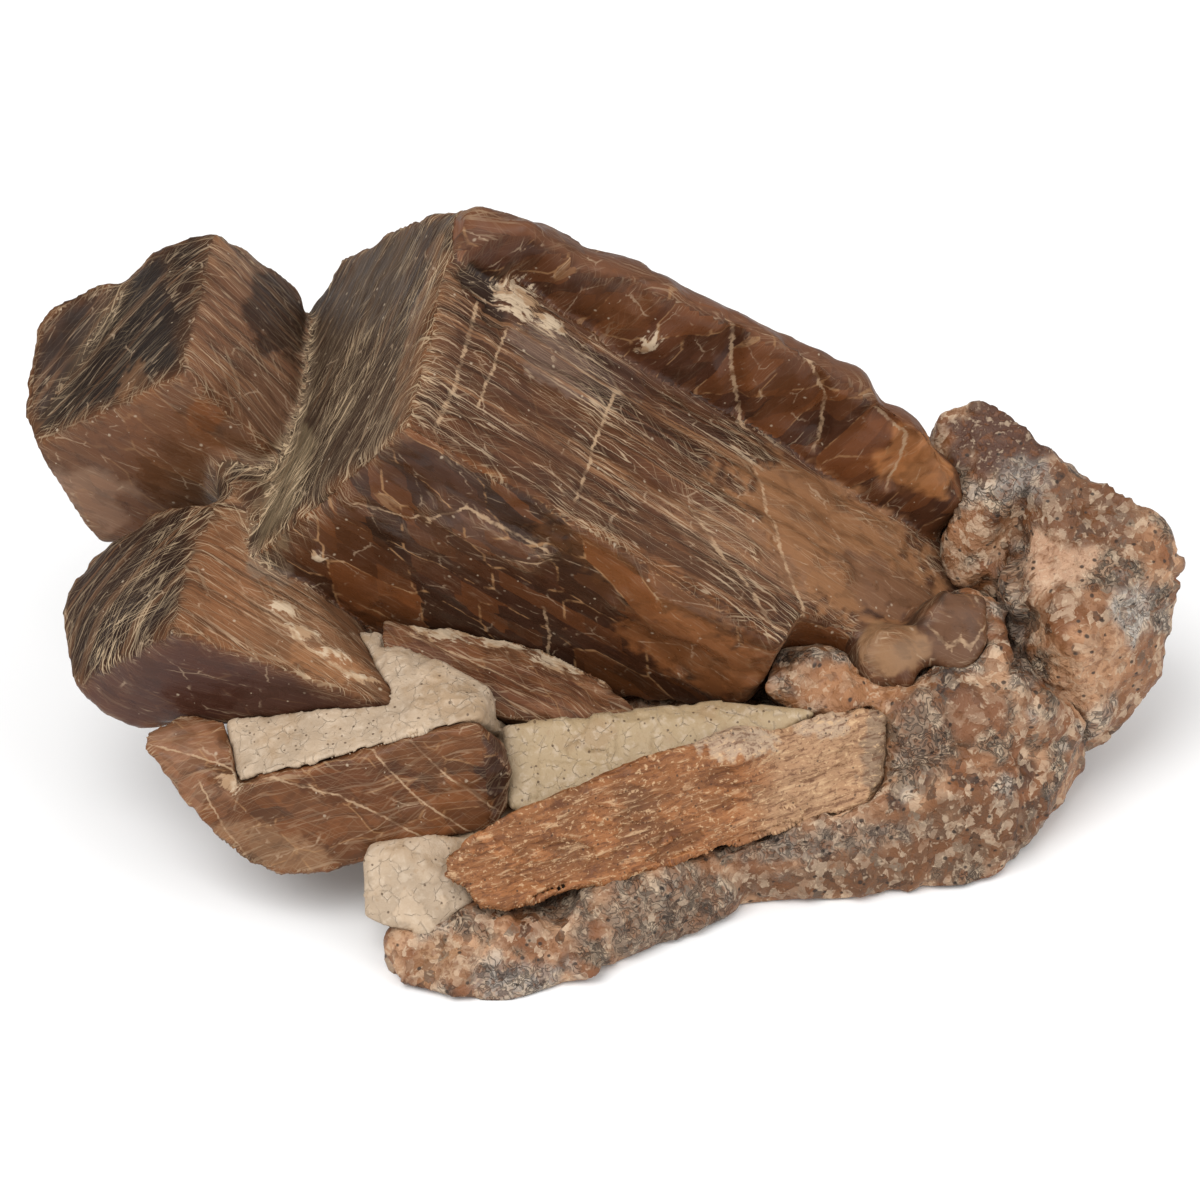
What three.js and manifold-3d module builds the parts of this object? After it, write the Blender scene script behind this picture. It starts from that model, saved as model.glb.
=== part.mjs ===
// A hand specimen of andalusite: stout brown prisms grown together, with smaller crystals,
// a pale quartz vein and the granular host rock that they broke away with.
// Millimetres, +Z up. The specimen rests on the flat underside of its host rock.

import * as THREE from "three";
import { ConvexGeometry } from "three/addons/geometries/ConvexGeometry.js";
import { TessellateModifier } from "three/addons/modifiers/TessellateModifier.js";
import { mergeVertices } from "three/addons/utils/BufferGeometryUtils.js";
import Module from "manifold-3d";

const wasm = await Module();
wasm.setup();

// Driving dimensions
const JOIN_GAP = 0.3; // clearance between one mineral and the next
const REST_PLANE = 0; // height of the flat underside

const PRISM = {
  corner: [-21, 29, 58], // where its end, front and top faces meet
  along: [0.81, 0.04, -0.58], // long axis, down to the right
  back: [0.15, 0.95, 0.28], // away from the front face
  length: 76,
  thickness: 26, // width of the striated top face
  height: 33, // depth of the end face below it
};

const TINT = {
  crystal: { color: 0x5a3320, roughness: 0.45 },
  amber: { color: 0x8a5630, roughness: 0.55 },
  quartz: { color: 0xcdbb98, roughness: 0.5 },
  rock: { color: 0xa3866a, roughness: 0.85 },
};

// Solids

function solidOf(geometry) {
  const bare = geometry.clone();
  bare.deleteAttribute("normal");
  bare.deleteAttribute("uv");
  const merged = mergeVertices(bare, 1e-4);
  return new wasm.Manifold(
    new wasm.Mesh({
      numProp: 3,
      vertProperties: new Float32Array(merged.attributes.position.array),
      triVerts: new Uint32Array(merged.index.array),
    }),
  );
}

function geometryOf(solid) {
  const mesh = solid.getMesh();
  const geometry = new THREE.BufferGeometry();
  geometry.setAttribute("position", new THREE.BufferAttribute(mesh.vertProperties, 3));
  geometry.setIndex(new THREE.BufferAttribute(mesh.triVerts, 1));
  geometry.computeVertexNormals();
  return geometry;
}

const join = (solids) => solids.reduce((sum, solid) => sum.add(solid));
const cut = (solid, tools) => tools.reduce((rest, tool) => rest.subtract(tool), solid);
const largest = (solid) => solid.decompose().sort((a, b) => b.volume() - a.volume())[0];

// A flat-faced block through its corner points, each face pushed out by grow.
function facets(corners, grow = 0) {
  const points = [];
  for (const [x, y, z] of corners) {
    for (const i of [-grow, grow]) {
      for (const j of [-grow, grow]) {
        for (const k of [-grow, grow]) points.push(new THREE.Vector3(x + i, y + j, z + k));
      }
    }
  }
  return solidOf(new ConvexGeometry(points));
}

// Smooth noise between -1 and 1, from hashed lattice values.
function lattice(i, j, k) {
  const wave = Math.sin(i * 127.1 + j * 311.7 + k * 74.7) * 43758.5453;
  return 2 * (wave - Math.floor(wave)) - 1;
}

function noise(x, y, z) {
  const [i, j, k] = [x, y, z].map(Math.floor);
  const [u, v, w] = [x - i, y - j, z - k].map((t) => t * t * (3 - 2 * t));
  const mix = THREE.MathUtils.lerp;
  const row = (dj, dk) => mix(lattice(i, j + dj, k + dk), lattice(i + 1, j + dj, k + dk), u);
  return mix(mix(row(0, 0), row(1, 0), v), mix(row(0, 1), row(1, 1), v), w);
}

// The same block with broken, grainy faces: split to short edges, then pushed in and out along normals.
function broken({ corners, rough = 0.9, grain = 7, edge = 5 }, grow = 0) {
  const points = corners.map((corner) => new THREE.Vector3(...corner));
  const split = new TessellateModifier(edge, 12).modify(new ConvexGeometry(points));
  split.deleteAttribute("normal");
  const geometry = mergeVertices(split, 1e-3);
  geometry.computeVertexNormals();
  const { position, normal } = geometry.attributes;
  const point = new THREE.Vector3();
  const outward = new THREE.Vector3();
  for (let n = 0; n < position.count; n++) {
    point.fromBufferAttribute(position, n);
    outward.fromBufferAttribute(normal, n);
    const [x, y, z] = point.toArray().map((value) => value / grain);
    const push = grow + rough * (noise(x, y, z) + 0.5 * noise(2.3 * x + 7, 2.3 * y, 2.3 * z));
    point.addScaledVector(outward, push);
    position.setXYZ(n, point.x, point.y, point.z);
  }
  return solidOf(geometry);
}

// Prism frame: distances along the prism, back from its front face, and above its top face

const along = new THREE.Vector3(...PRISM.along).normalize();
const above = along.clone().cross(new THREE.Vector3(...PRISM.back)).normalize();
const back = above.clone().cross(along);

function inPrism([length, depth, height]) {
  const point = new THREE.Vector3(...PRISM.corner);
  point.addScaledVector(along, length).addScaledVector(back, depth).addScaledVector(above, height);
  return point.toArray();
}

// A slab in the prism frame: its reach along, back and above.
function slab([c0, c1], [a0, a1], [n0, n1]) {
  const corners = [];
  for (const c of [c0, c1]) {
    for (const a of [a0, a1]) {
      for (const n of [n0, n1]) corners.push(inPrism([c, a, n]));
    }
  }
  return corners;
}

// Crystal cluster: main prism, the row of blocks behind it and two prisms at its left end

const { length, thickness, height } = PRISM;

const prismBody = [
  [0, 0, 0], [0, thickness + 1, 0.5], [0, 35.5, -6], [0, 41.5, -21], [0, 43.2, -28], [0, 40, -height - 1],
  [0, 0, -height], [26, 0, -height], [26, 34, -height], [51.5, 0, 0], [55, 0, -12], [52, 0, -18],
  [58, thickness, 0], [56, 28, -18],
].map(inPrism);

// The far end, with its front corner broken away
const prismTip = [
  [50, 4, 0], [50, thickness, 0], [60, 9.5, 0], [length, 10, 0], [length, thickness, 0],
  [length - 4, 10, -11], [length - 4, thickness, -11], [60, 9.5, -16], [50, 4, -18], [50, 28, -18],
].map(inPrism);

// Rounded lumps left on the broken end
const endLumps = [
  [
    [61, 4, 0], [62, 6, 3], [66, 8, 3.4], [69, 6, 2.4], [68, 2, 0.5], [64, 1, -1.5], [61, 14, -8],
    [68, 14, -8], [62, 4, -8], [68, 4, -8],
  ],
  [
    [66, 9, 3], [67, 13, 7], [72, 14, 8], [74, 9, 6.5], [73, 5, 3.5], [67, 6, 2], [67, 14, -6],
    [74, 14, -6],
  ],
].map((lump) => lump.map(inPrism));

// Cleavage plates that stand proud of the front face: reach along, height range, how proud.
const FRONT_PLATES = [
  { reach: [9, 24], rise: [-11, -6], proud: 1.0 },
  { reach: [2, 14], rise: [-30, -14], proud: 0.5 },
  { reach: [33, 44], rise: [-9, -1], proud: 0.6 },
  { reach: [43, 51], rise: [-7, -0.5], proud: 0.9 },
  { reach: [46, 54], rise: [-14, -8], proud: 0.8 },
];
const frontPlates = FRONT_PLATES.map(({ reach, rise, proud }) => slab(reach, [-proud, 3], rise));

// Growth ridges that run the length of the top face: distance back, width, reach, height.
const TOP_RIDGES = [
  { at: 3, width: 2.2, reach: [4, 49], rise: 0.5 },
  { at: 8, width: 1.6, reach: [2, 46], rise: 0.6 },
  { at: 12, width: 2.4, reach: [6, 58], rise: 0.8 },
  { at: 17, width: 2, reach: [16, 64], rise: 0.6 },
  { at: 21.5, width: 1.8, reach: [30, 66], rise: 0.7 },
];
const topRidges = TOP_RIDGES.map(({ at, width, reach, rise }) => slab(reach, [at, at + width], [-3, rise]));

// The crest over the end face
const endCrest = [
  [0, 24, 0], [0, 30, 4.2], [0, 35.5, -6], [0, 41.5, -21], [0, 30, -20], [8, 24, 0], [5.5, 28, 8],
  [8, 28, 7.5], [8, 31, 5], [8, 36, -6], [8, 40, -21], [8, 30, -20],
].map(inPrism);

// Blocks behind the top face, parted across the long axis: reach along, crest height at each end, setback.
const BACK_BLOCKS = [
  { reach: [7, 14], crest: [7.2, 7.8], set: 28 },
  { reach: [13, 22], crest: [8.2, 11], set: 27.5 },
  { reach: [20.5, 31], crest: [11.4, 12.6], set: 26.5 },
  { reach: [29.5, 41], crest: [12.8, 13.6], set: 27 },
  { reach: [39.5, 50], crest: [13.2, 13.6], set: 27.4 },
  { reach: [48.5, 59], crest: [13.7, 13.2], set: 26.6 },
  { reach: [57.5, 69], crest: [13, 7.2], set: 26 },
];
const BLOCK_ROOT = { depth: 18, tail: 17 }; // how far each block goes down and back behind the prism
const BLOCK_SHOULDER = { inset: 1.2, drop: 1.4, width: 3 }; // worn corners of each crest

function backBlock({ reach: [start, end], crest: [left, right], set }) {
  const { inset, drop, width } = BLOCK_SHOULDER;
  const { depth, tail } = BLOCK_ROOT;
  return [
    [start, set - 2, -4], [end, set - 2, -4],
    [start, set - 0.6, left - drop], [end, set - 0.6, right - drop],
    [start + inset, set, left], [end - inset, set, right],
    [start + inset, set + width, left - drop], [end - inset, set + width, right - drop],
    [start, set + tail, -depth], [end, set + tail, -depth],
    [start, set - 2, -depth], [end, set - 2, -depth],
  ].map(inPrism);
}

const upperLeftPrism = [
  [-46.5, 51, 51], [-44, 72.5, 56.8], [-41.5, 73.5, 54.3], [-35, 74, 47.5], [-34.5, 57.5, 44],
  [-36.5, 50, 40], [-50, 71, 55.8], [-54.5, 70, 51.5], [-64.5, 55.5, 38.3], [-62, 55, 35.3],
  [-60.5, 55, 32], [-59, 55.5, 28.5], [-58, 56, 24], [-41.5, 53, 28], [-28, 56, 28], [-36, 80, 34],
  [-52, 76, 36], [-56, 66, 24],
];
const upperLeftKnob = [
  [-54.5, 69, 52], [-56.5, 69, 52], [-58.7, 68.5, 51.2], [-63, 67, 49.3], [-65, 65, 46.7],
  [-66, 61, 42.8], [-66, 58.5, 41], [-64.5, 55.5, 38.3], [-62, 58, 36], [-60, 70, 38], [-52, 72, 40],
  [-50, 60, 42],
];
const lowerLeftPrism = [
  [-47, 26, 33], [-42.5, 45, 37], [-41, 46, 36.5], [-39, 37, 31], [-29, 37, 26.5], [-21.5, 25, 22.7],
  [-46.5, 47, 36.2], [-50.5, 48, 34], [-57, 47.5, 29], [-60, 45, 27], [-61, 41.5, 25],
  [-60.5, 38.5, 23.5], [-59, 33, 20.7], [-56, 30.5, 18], [-51.5, 29.5, 16.8], [-41.5, 27.5, 19],
  [-26, 42, 22], [-40, 54, 22], [-54, 50, 18],
];

// Fibrous saddle where the three prisms meet
const saddle = [
  [-43.3, 51, 38.5], [-36.3, 48.2, 38.4], [-38.3, 43, 36.3], [-42.3, 45.5, 36.6], [-39.8, 55, 30],
  [-43.8, 54, 31], [-35.8, 54, 32], [-39.8, 47, 31],
];

const clusterBlocks = [
  prismBody, prismTip, ...endLumps, ...frontPlates, ...topRidges, endCrest, ...BACK_BLOCKS.map(backBlock),
  upperLeftPrism, upperLeftKnob, lowerLeftPrism, saddle,
];

// Separate crystals held in the quartz and the host rock

const FRONT_BLOCKS = [
  [
    [-45.3, 20, 13], [-42.4, 18, 10.6], [-38.7, 16.5, 8], [-36, 16, 7], [-31.5, 15.5, 7.5],
    [-21, 15.5, 11.3], [-12.3, 17, 12.6], [-10.7, 18.5, 14], [-10, 20, 18], [-10.8, 22, 20.5],
    [-13.4, 20.5, 24.6], [-25, 18.8, 21.4], [-35, 18.2, 19.1], [-39.5, 18.2, 17.3], [-43, 27, 14.5],
    [-14, 27, 17], [-36, 26, 11], [-14, 27, 13],
  ],
  [
    [-50.5, 26, 19.3], [-50.5, 24, 18.5], [-48.5, 22, 16.8], [-45.3, 20, 13], [-46.5, 28, 20.2],
    [-41.8, 26.3, 20.4], [-40.2, 18.6, 17.7], [-42.4, 18, 10.6], [-40, 25, 10],
  ],
];
const bladeCrystal = [
  [-24.3, 37, 26.6], [-12, 38, 24.5], [-6.5, 36.5, 22.7], [0, 34, 20.6], [6.2, 29.5, 17.9],
  [3.6, 28, 17.2], [-6.7, 28.5, 18.8], [-12.2, 27.5, 20.7], [-12.4, 29, 22.8], [-21.6, 31.5, 24],
  [-24.4, 32, 24.8], [-20, 36, 18], [2, 32, 13], [-12, 32, 16],
];
const LONG_CRYSTAL = {
  corners: [
    [-17, 9.3, 12], [-13.3, 7.6, 8.6], [-10.6, 7.8, 8], [-2, 12, 9.4], [13, 17.5, 8.7],
    [29.5, 24.5, 10], [-16.5, 9.8, 13.7], [-12.5, 11.5, 16.5], [-9.7, 13.5, 17.5], [4.4, 20.5, 18.9],
    [15.5, 25, 19.4], [28, 29.5, 19.3], [31.8, 30, 18.6], [31.2, 27.2, 12], [-6, 20, 9], [15, 31, 11],
    [31, 34, 13],
  ],
  rough: 0.6, grain: 5, edge: 3.6,
};

// Quartz vein: a strip over the front crystal, the fill beside it and the pale block at the foot

const QUARTZ_BLOCKS = [
  [
    [-39.5, 18.6, 17.4], [-35, 18.6, 19.6], [-25, 19, 22], [-13.4, 20.8, 25], [-12.2, 27, 24.6],
    [-21.5, 30.5, 25], [-25, 30, 25], [-41.5, 26.5, 20], [-29, 37, 26], [-24.2, 35, 25.8],
    [-42, 28, 14], [-10, 30, 15], [-26, 38, 15],
  ],
  [
    [-10.7, 26, 20], [-2.8, 27.5, 18.8], [6.4, 27.2, 17.5], [14, 31, 19.6], [24, 29.5, 19.3],
    [16, 27.5, 18.9], [15, 25, 16.9], [0.7, 23, 16.3], [-6, 19.5, 15], [-9.8, 19, 14], [-14, 32, 12],
    [22, 36, 12], [0, 18, 11],
  ],
  [
    [-26, 13.5, 11.3], [-21.8, 13, 12.5], [-16.8, 11, 10], [-14.8, 9.5, 7.8], [-17.3, 9, 6.4],
    [-19, 8, 4.6], [-23.3, 8.5, 5.4], [-26, 10, 5.6], [-26, 12, 7.5], [-24, 20, 4], [-4, 27, 13],
    [-22, 24, 12], [-8, 20, 6],
  ],
];

// Host rock, broken from overlapping blocks

const ROCK_BLOCKS = {
  bulk: {
    corners: [
      [-17, 20, -2], [-21, 34, -2], [-19, 50, -2], [-10, 64, -2], [6, 71, -2], [28, 73, -2],
      [43, 67, -2], [51, 54, -2], [49, 42, -2], [40, 28, -2], [-16, 24, 10], [-23, 40, 7],
      [-21, 56, 10], [-16, 62, 18], [0, 73, 18], [42, 71, 18], [53, 56, 10], [48, 42, 14],
    ],
    rough: 1.1, edge: 7.5,
  },
  foot: {
    corners: [
      [-23.4, 7.5, 5], [-23.6, 6.5, 3], [-22.6, 5.5, 1.7], [-20, 4, 0], [-16.5, 2.2, 0], [-13, 1.5, 0],
      [-9.5, 1.9, 0], [-6, 3.5, 0], [0, 6, 2], [-4.5, 7.5, 5.7], [-11, 7.5, 6.4], [-16, 8, 5.8],
      [-18, 16, 5], [2, 18, 5], [-20, 14, -2], [-17, 5, -2], [-8, 4, -2], [0, 18, -2],
    ],
    grain: 5, edge: 3.6,
  },
  bandLeft: {
    corners: [
      [-6, 7, 5], [0, 6.5, 1.5], [4.4, 10, 0.5], [10, 14, 0.5], [15, 18.3, 0.5], [-2, 10.5, 8.5],
      [4.4, 14, 8.5], [13, 17.5, 8], [17, 20, 8], [-6, 24, 4], [17, 30, 6], [1, 9, -2], [5, 11.5, -2],
      [15, 19, -2], [17, 30, -2],
    ],
    grain: 5, edge: 4,
  },
  bandRight: {
    corners: [
      [14.5, 18.3, 0.5], [21.7, 20.1, 0.5], [34.4, 21.7, 0.5], [41, 22.6, 0.5], [46, 24.2, 1],
      [13, 17.8, 8], [21.6, 21.3, 8.6], [29.4, 24.5, 9.5], [37, 27, 13], [44, 29, 14], [14, 30, 6],
      [46, 38, 10], [15, 19.5, -2], [40, 24, -2], [46, 36, -2], [14, 30, -2],
    ],
    grain: 5, edge: 4,
  },
  amberToe: {
    corners: [
      [18.7, 31, 21.4], [22, 33, 23], [22.7, 30, 20.3], [29.8, 34.5, 22.7], [29.7, 30, 20.3],
      [36, 33, 20], [20, 41, 21], [36, 42, 21], [20, 41, 13], [36, 42, 13], [30, 30, 14],
    ],
    rough: 0.5, grain: 4, edge: 3,
  },
  schist: {
    corners: [
      [31, 29.8, 19.4], [38.5, 31, 19.2], [32, 27.4, 12], [38, 27.6, 11], [44, 29.5, 14], [33, 38, 20.5],
      [44, 36, 20.5], [31, 34, 9], [43, 37, 9],
    ],
    rough: 0.5, grain: 4, edge: 3,
  },
  micaShelf: {
    corners: [
      [29, 34, 20.6], [36, 33, 20.4], [44, 33, 20.2], [46, 37, 21.5], [45, 46, 24], [34, 47, 22],
      [29, 42, 20], [30, 34, 10], [45, 34, 10], [45, 47, 10], [29, 44, 10],
    ],
    rough: 0.5, grain: 4, edge: 5,
  },
  rightKnob: {
    corners: [
      [39, 61, 38.8], [42.8, 60.5, 40.9], [44.4, 60, 40.7], [47.2, 58.5, 39.7], [50, 57, 37.9],
      [50.2, 54.5, 35.3], [45.6, 52, 32.9], [41.2, 55, 33.6], [48, 68, 28], [38, 68, 28], [40, 50, 20],
      [50, 52, 20],
    ],
    rough: 0.6, edge: 4,
  },
  rightLump: {
    corners: [
      [50, 56.5, 37.4], [52.5, 55.5, 36.8], [56.4, 54, 34], [62.2, 52.5, 31.6], [64.4, 51.5, 30],
      [65.9, 50, 27], [65.7, 47, 17.6], [64.6, 45.5, 14.3], [61, 43, 9], [57.5, 40.5, 6.7],
      [54, 50, 31.5], [57.8, 43, 25.3], [54.3, 38, 20.5], [48.5, 48, 28], [60, 66, 18], [48, 72, 24],
      [56, 62, 3], [46, 44, 6],
    ],
    edge: 4.5,
  },
  rightToe: {
    corners: [
      [45.6, 29.5, 13], [47.4, 34.5, 17.4], [45.2, 32, 19.9], [39.4, 31.5, 19.6], [51, 33, 10],
      [55.7, 37, 12.5], [54.6, 38, 4.2], [50.5, 34.5, 0.7], [48, 29.6, 0], [45.8, 24.6, 0.8],
      [42, 44, 22], [54, 46, 4], [42, 42, -2], [52, 44, -2], [47, 30, -2], [45, 26, -2],
    ],
    grain: 5, edge: 4,
  },
  backWall: {
    corners: [
      [-18, 64, 20], [-10, 72, 34], [10, 73, 37], [30, 71, 31], [44, 68, 27], [-14, 70, -2],
      [40, 73, -2], [-12, 60, 30], [40, 58, 24], [-10, 78, 12], [34, 79, 10],
    ],
    rough: 1.2, edge: 7,
  },
};

const FLOOR_CUT = { width: 300, depth: 40 };
const belowFloor = solidOf(
  new THREE.BoxGeometry(FLOOR_CUT.width, FLOOR_CUT.width, FLOOR_CUT.depth).translate(
    0, 0, REST_PLANE - FLOOR_CUT.depth / 2,
  ),
);

// Each mineral is cut by those that grew before it, with a join gap between them.

const sockets = (blocks) => blocks.map((corners) => facets(corners, JOIN_GAP));
const clusterSockets = sockets(clusterBlocks);
const frontSockets = sockets(FRONT_BLOCKS);
const crystalSockets = [...clusterSockets, ...frontSockets, facets(bladeCrystal, JOIN_GAP)];
const longSocket = broken(LONG_CRYSTAL, JOIN_GAP);

const cluster = join(clusterBlocks.map((corners) => facets(corners)));
const front = largest(cut(join(FRONT_BLOCKS.map((corners) => facets(corners))), clusterSockets));
const blade = largest(cut(facets(bladeCrystal), [...clusterSockets, ...frontSockets]));
const long = largest(cut(broken(LONG_CRYSTAL), [...crystalSockets, belowFloor]));
const quartz = largest(
  cut(join(QUARTZ_BLOCKS.map((corners) => facets(corners))), [...crystalSockets, longSocket, belowFloor]),
);
const rock = largest(
  cut(join(Object.values(ROCK_BLOCKS).map((block) => broken(block))), [
    ...crystalSockets, longSocket, ...sockets(QUARTZ_BLOCKS), belowFloor,
  ]),
);

// Scene

const specimen = new THREE.Group();

function addPiece(name, solid, tint) {
  const mesh = new THREE.Mesh(geometryOf(solid), new THREE.MeshStandardMaterial({ ...tint, metalness: 0 }));
  mesh.name = name;
  specimen.add(mesh);
}

addPiece("crystal_cluster", cluster, TINT.crystal);
addPiece("front_crystal", front, TINT.crystal);
addPiece("blade_crystal", blade, TINT.crystal);
addPiece("long_crystal", long, TINT.amber);
addPiece("quartz_vein", quartz, TINT.quartz);
addPiece("host_rock", rock, TINT.rock);

const extent = new THREE.Box3().setFromObject(specimen);
const centre = extent.getCenter(new THREE.Vector3());
specimen.position.set(-centre.x, -centre.y, -extent.min.z);

export default specimen;
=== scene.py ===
import math

import bpy
import numpy as np
from mathutils import Euler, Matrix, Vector


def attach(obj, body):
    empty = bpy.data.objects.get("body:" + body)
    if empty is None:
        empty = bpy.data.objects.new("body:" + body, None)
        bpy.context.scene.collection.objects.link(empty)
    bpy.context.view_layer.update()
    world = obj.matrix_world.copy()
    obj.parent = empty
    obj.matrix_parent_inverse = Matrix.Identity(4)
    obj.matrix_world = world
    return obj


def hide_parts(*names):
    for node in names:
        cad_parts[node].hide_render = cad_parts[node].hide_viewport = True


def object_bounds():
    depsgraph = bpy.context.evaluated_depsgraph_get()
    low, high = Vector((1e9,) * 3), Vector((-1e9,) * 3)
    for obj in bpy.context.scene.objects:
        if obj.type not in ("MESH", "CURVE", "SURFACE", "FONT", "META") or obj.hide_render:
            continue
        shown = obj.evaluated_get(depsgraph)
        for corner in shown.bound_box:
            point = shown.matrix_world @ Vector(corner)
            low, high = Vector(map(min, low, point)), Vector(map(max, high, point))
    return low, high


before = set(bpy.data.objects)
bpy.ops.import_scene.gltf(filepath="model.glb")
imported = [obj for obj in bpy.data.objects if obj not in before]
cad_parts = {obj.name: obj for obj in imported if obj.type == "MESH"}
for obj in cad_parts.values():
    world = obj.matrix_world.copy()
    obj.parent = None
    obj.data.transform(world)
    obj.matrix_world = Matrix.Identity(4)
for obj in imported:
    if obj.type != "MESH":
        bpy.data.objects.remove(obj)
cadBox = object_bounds()
mm = 0.001  # the scene is in metres, every size below is in millimetres
coarse = 1.0
boxMargin = 1.0  # how far a skin may go past the solids' box
lightBalance = 0.76  # the studio light is brighter than the colours noted below
skewGrid = (0.5, 0.35, 0.6)  # turn of the mesh grid for the small pieces, so that no edge lies along it
print("frame loaded:", sorted(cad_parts))


# small tools for the rock shapes

def unit(vector):
    vector = np.array(vector, float)
    return vector / np.linalg.norm(vector)


def shade(red, green, blue):
    # display colour 0-255 under the studio light to the linear colour a shader takes
    value = np.array((red, green, blue)) / 255
    linear = np.where(value < 0.04045, value / 12.92, ((value + 0.055) / 1.055) ** 2.4)
    return linear * lightBalance


def smoothStep(low, high, value):
    t = np.clip((value - low) / (high - low), 0, 1)
    return t * t * (3 - 2 * t)


def cellHash(cell, seed):
    h = cell[:, 0] * 374761393 + cell[:, 1] * 668265263 + cell[:, 2] * 1440662683 + seed * 974634619
    h = (h ^ (h >> 13)) * 1274126177 & 0xFFFFFFFF
    h = (h ^ (h >> 16)) * 2246822519 & 0xFFFFFFFF
    return ((h ^ (h >> 15)) & 0xFFFFFF) / 0xFFFFFF


def softNoise(points, seed=0):
    # smooth lattice noise, -1 to 1, one bump per unit
    base = np.floor(points).astype(np.int64)
    part = points - base
    fade = part * part * (3 - 2 * part)
    total = np.zeros(len(points))
    for corner in np.ndindex(2, 2, 2):
        near = np.where(np.array(corner) == 1, fade, 1 - fade).prod(axis=1)
        total += near * cellHash(base + np.array(corner), seed)
    return 2 * total - 1


def roughNoise(points, octaves=3, seed=0):
    total = np.zeros(len(points))
    for step in range(octaves):
        total += softNoise(points * 2.03 ** step + 17.3 * step, seed + step) * 0.5 ** step
    return total


def grainCells(points, seed=0, squared=False):
    # distances to the nearest and next nearest grain centre, and a random number for the nearest grain
    base = np.floor(points).astype(np.int64)
    first = np.full(len(points), 9.0)
    second = np.full(len(points), 9.0)
    pick = np.zeros(len(points))
    for offset in np.ndindex(3, 3, 3):
        cell = base + np.array(offset) - 1
        centre = cell + np.stack([cellHash(cell, seed + axis) for axis in range(3)], axis=1)
        away = np.abs(points - centre)
        gap = away.max(axis=1) if squared else np.linalg.norm(away, axis=1)
        nearer = gap < first
        second = np.where(nearer, first, np.minimum(second, gap))
        pick = np.where(nearer, cellHash(cell, seed + 5), pick)
        first = np.where(nearer, gap, first)
    return first, second, pick


def evenSkin(nodeName, pieceName, voxel, turn=(0.0, 0.0, 0.0)):
    # a fresh copy of a CAD solid with an even, fine mesh, on a grid that may be turned to suit its edges
    turned = Euler(turn).to_matrix().to_4x4()
    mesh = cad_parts[nodeName].data.copy()
    mesh.materials.clear()
    mesh.transform(turned)
    piece = bpy.data.objects.new(pieceName, mesh)
    bpy.context.scene.collection.objects.link(piece)
    remesh = piece.modifiers.new("even", "REMESH")
    remesh.mode = "VOXEL"
    remesh.voxel_size = voxel * coarse * mm
    remesh.adaptivity = 0
    remesh.use_smooth_shade = True
    seen = piece.evaluated_get(bpy.context.evaluated_depsgraph_get())
    skin = bpy.data.meshes.new_from_object(seen)
    skin.transform(turned.inverted())
    piece.modifiers.clear()
    piece.data = skin
    skin.name = pieceName
    return piece


def readSkin(piece):
    mesh = piece.data
    count = len(mesh.vertices)
    points = np.empty(count * 3, np.float32)
    mesh.vertices.foreach_get("co", points)
    normals = np.empty(count * 3, np.float32)
    mesh.vertex_normals.foreach_get("vector", normals)
    edges = np.empty(len(mesh.edges) * 2, np.int32)
    mesh.edges.foreach_get("vertices", edges)
    return points.reshape(-1, 3) / mm, normals.reshape(-1, 3).astype(float), edges.reshape(-1, 2)


def neighbourMean(values, edges):
    values = values if values.ndim == 2 else values[:, None]
    count = len(values)
    ends = np.concatenate([edges[:, 0], edges[:, 1]])
    others = np.concatenate([edges[:, 1], edges[:, 0]])
    share = np.maximum(np.bincount(ends, minlength=count), 1)
    columns = [np.bincount(ends, weights=column[others], minlength=count) / share for column in values.T]
    return np.stack(columns, axis=1)


def spread(values, edges, times):
    for _ in range(times):
        values = 0.5 * values + 0.5 * neighbourMean(values, edges)[:, 0]
    return values


def wearDown(points, edges, amount, times):
    # rounds the skin where amount is high, as handling and weather do
    amount = np.broadcast_to(amount, len(points))[:, None]
    for _ in range(times):
        points = points + amount * (neighbourMean(points, edges) - points)
    return points


def ridgesAndGrooves(points, normals, edges, reach):
    # 1 on outer edges and in inner corners, fading over a few mesh steps
    lift = ((neighbourMean(points, edges) - points) * normals).sum(axis=1)
    step = np.linalg.norm(points[edges[:, 0]] - points[edges[:, 1]], axis=1).mean()
    gain = 0.8 + 0.12 * reach
    ridge = spread(np.clip(-lift / step * 9 - 0.3, 0, 1.5), edges, reach)
    groove = spread(np.clip(lift / step * 9 - 0.3, 0, 1.5), edges, reach)
    return np.clip(ridge * gain, 0, 1), np.clip(groove * gain, 0, 1)


def blob(points, at, size, ragged, seed):
    # 1 inside a ragged-edged ellipsoid patch, 0 outside it
    reach = np.linalg.norm((points - np.array(at)) / np.array(size), axis=1)
    reach = reach + ragged * roughNoise(points / (0.45 * min(size)), 3, seed)
    return smoothStep(1.12, 0.88, reach)


def depthInside(points, patches):
    # 1 in the middle of any of the patches, 0 at its border, less outside
    depth = np.full(len(points), -1.0)
    for patch in patches:
        reach = np.linalg.norm((points - np.array(patch["at"])) / np.array(patch["size"]), axis=1)
        depth = np.maximum(depth, 1 - reach)
    return depth


def paint(tone, tint, amount):
    tone += (np.array(tint) - tone) * np.clip(amount, 0, 1)[:, None]


def keepValues(mesh, name, values):
    kind = {1: "FLOAT", 3: "FLOAT_VECTOR", 4: "FLOAT_COLOR"}[1 if values.ndim == 1 else values.shape[1]]
    layer = mesh.attributes.new(name, kind, "POINT")
    field = {"FLOAT": "value", "FLOAT_VECTOR": "vector", "FLOAT_COLOR": "color"}[kind]
    layer.data.foreach_set(field, np.ascontiguousarray(values, np.float32).ravel())


def keepAll(mesh, layers):
    for name, values in layers.items():
        keepValues(mesh, name, values)


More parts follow.
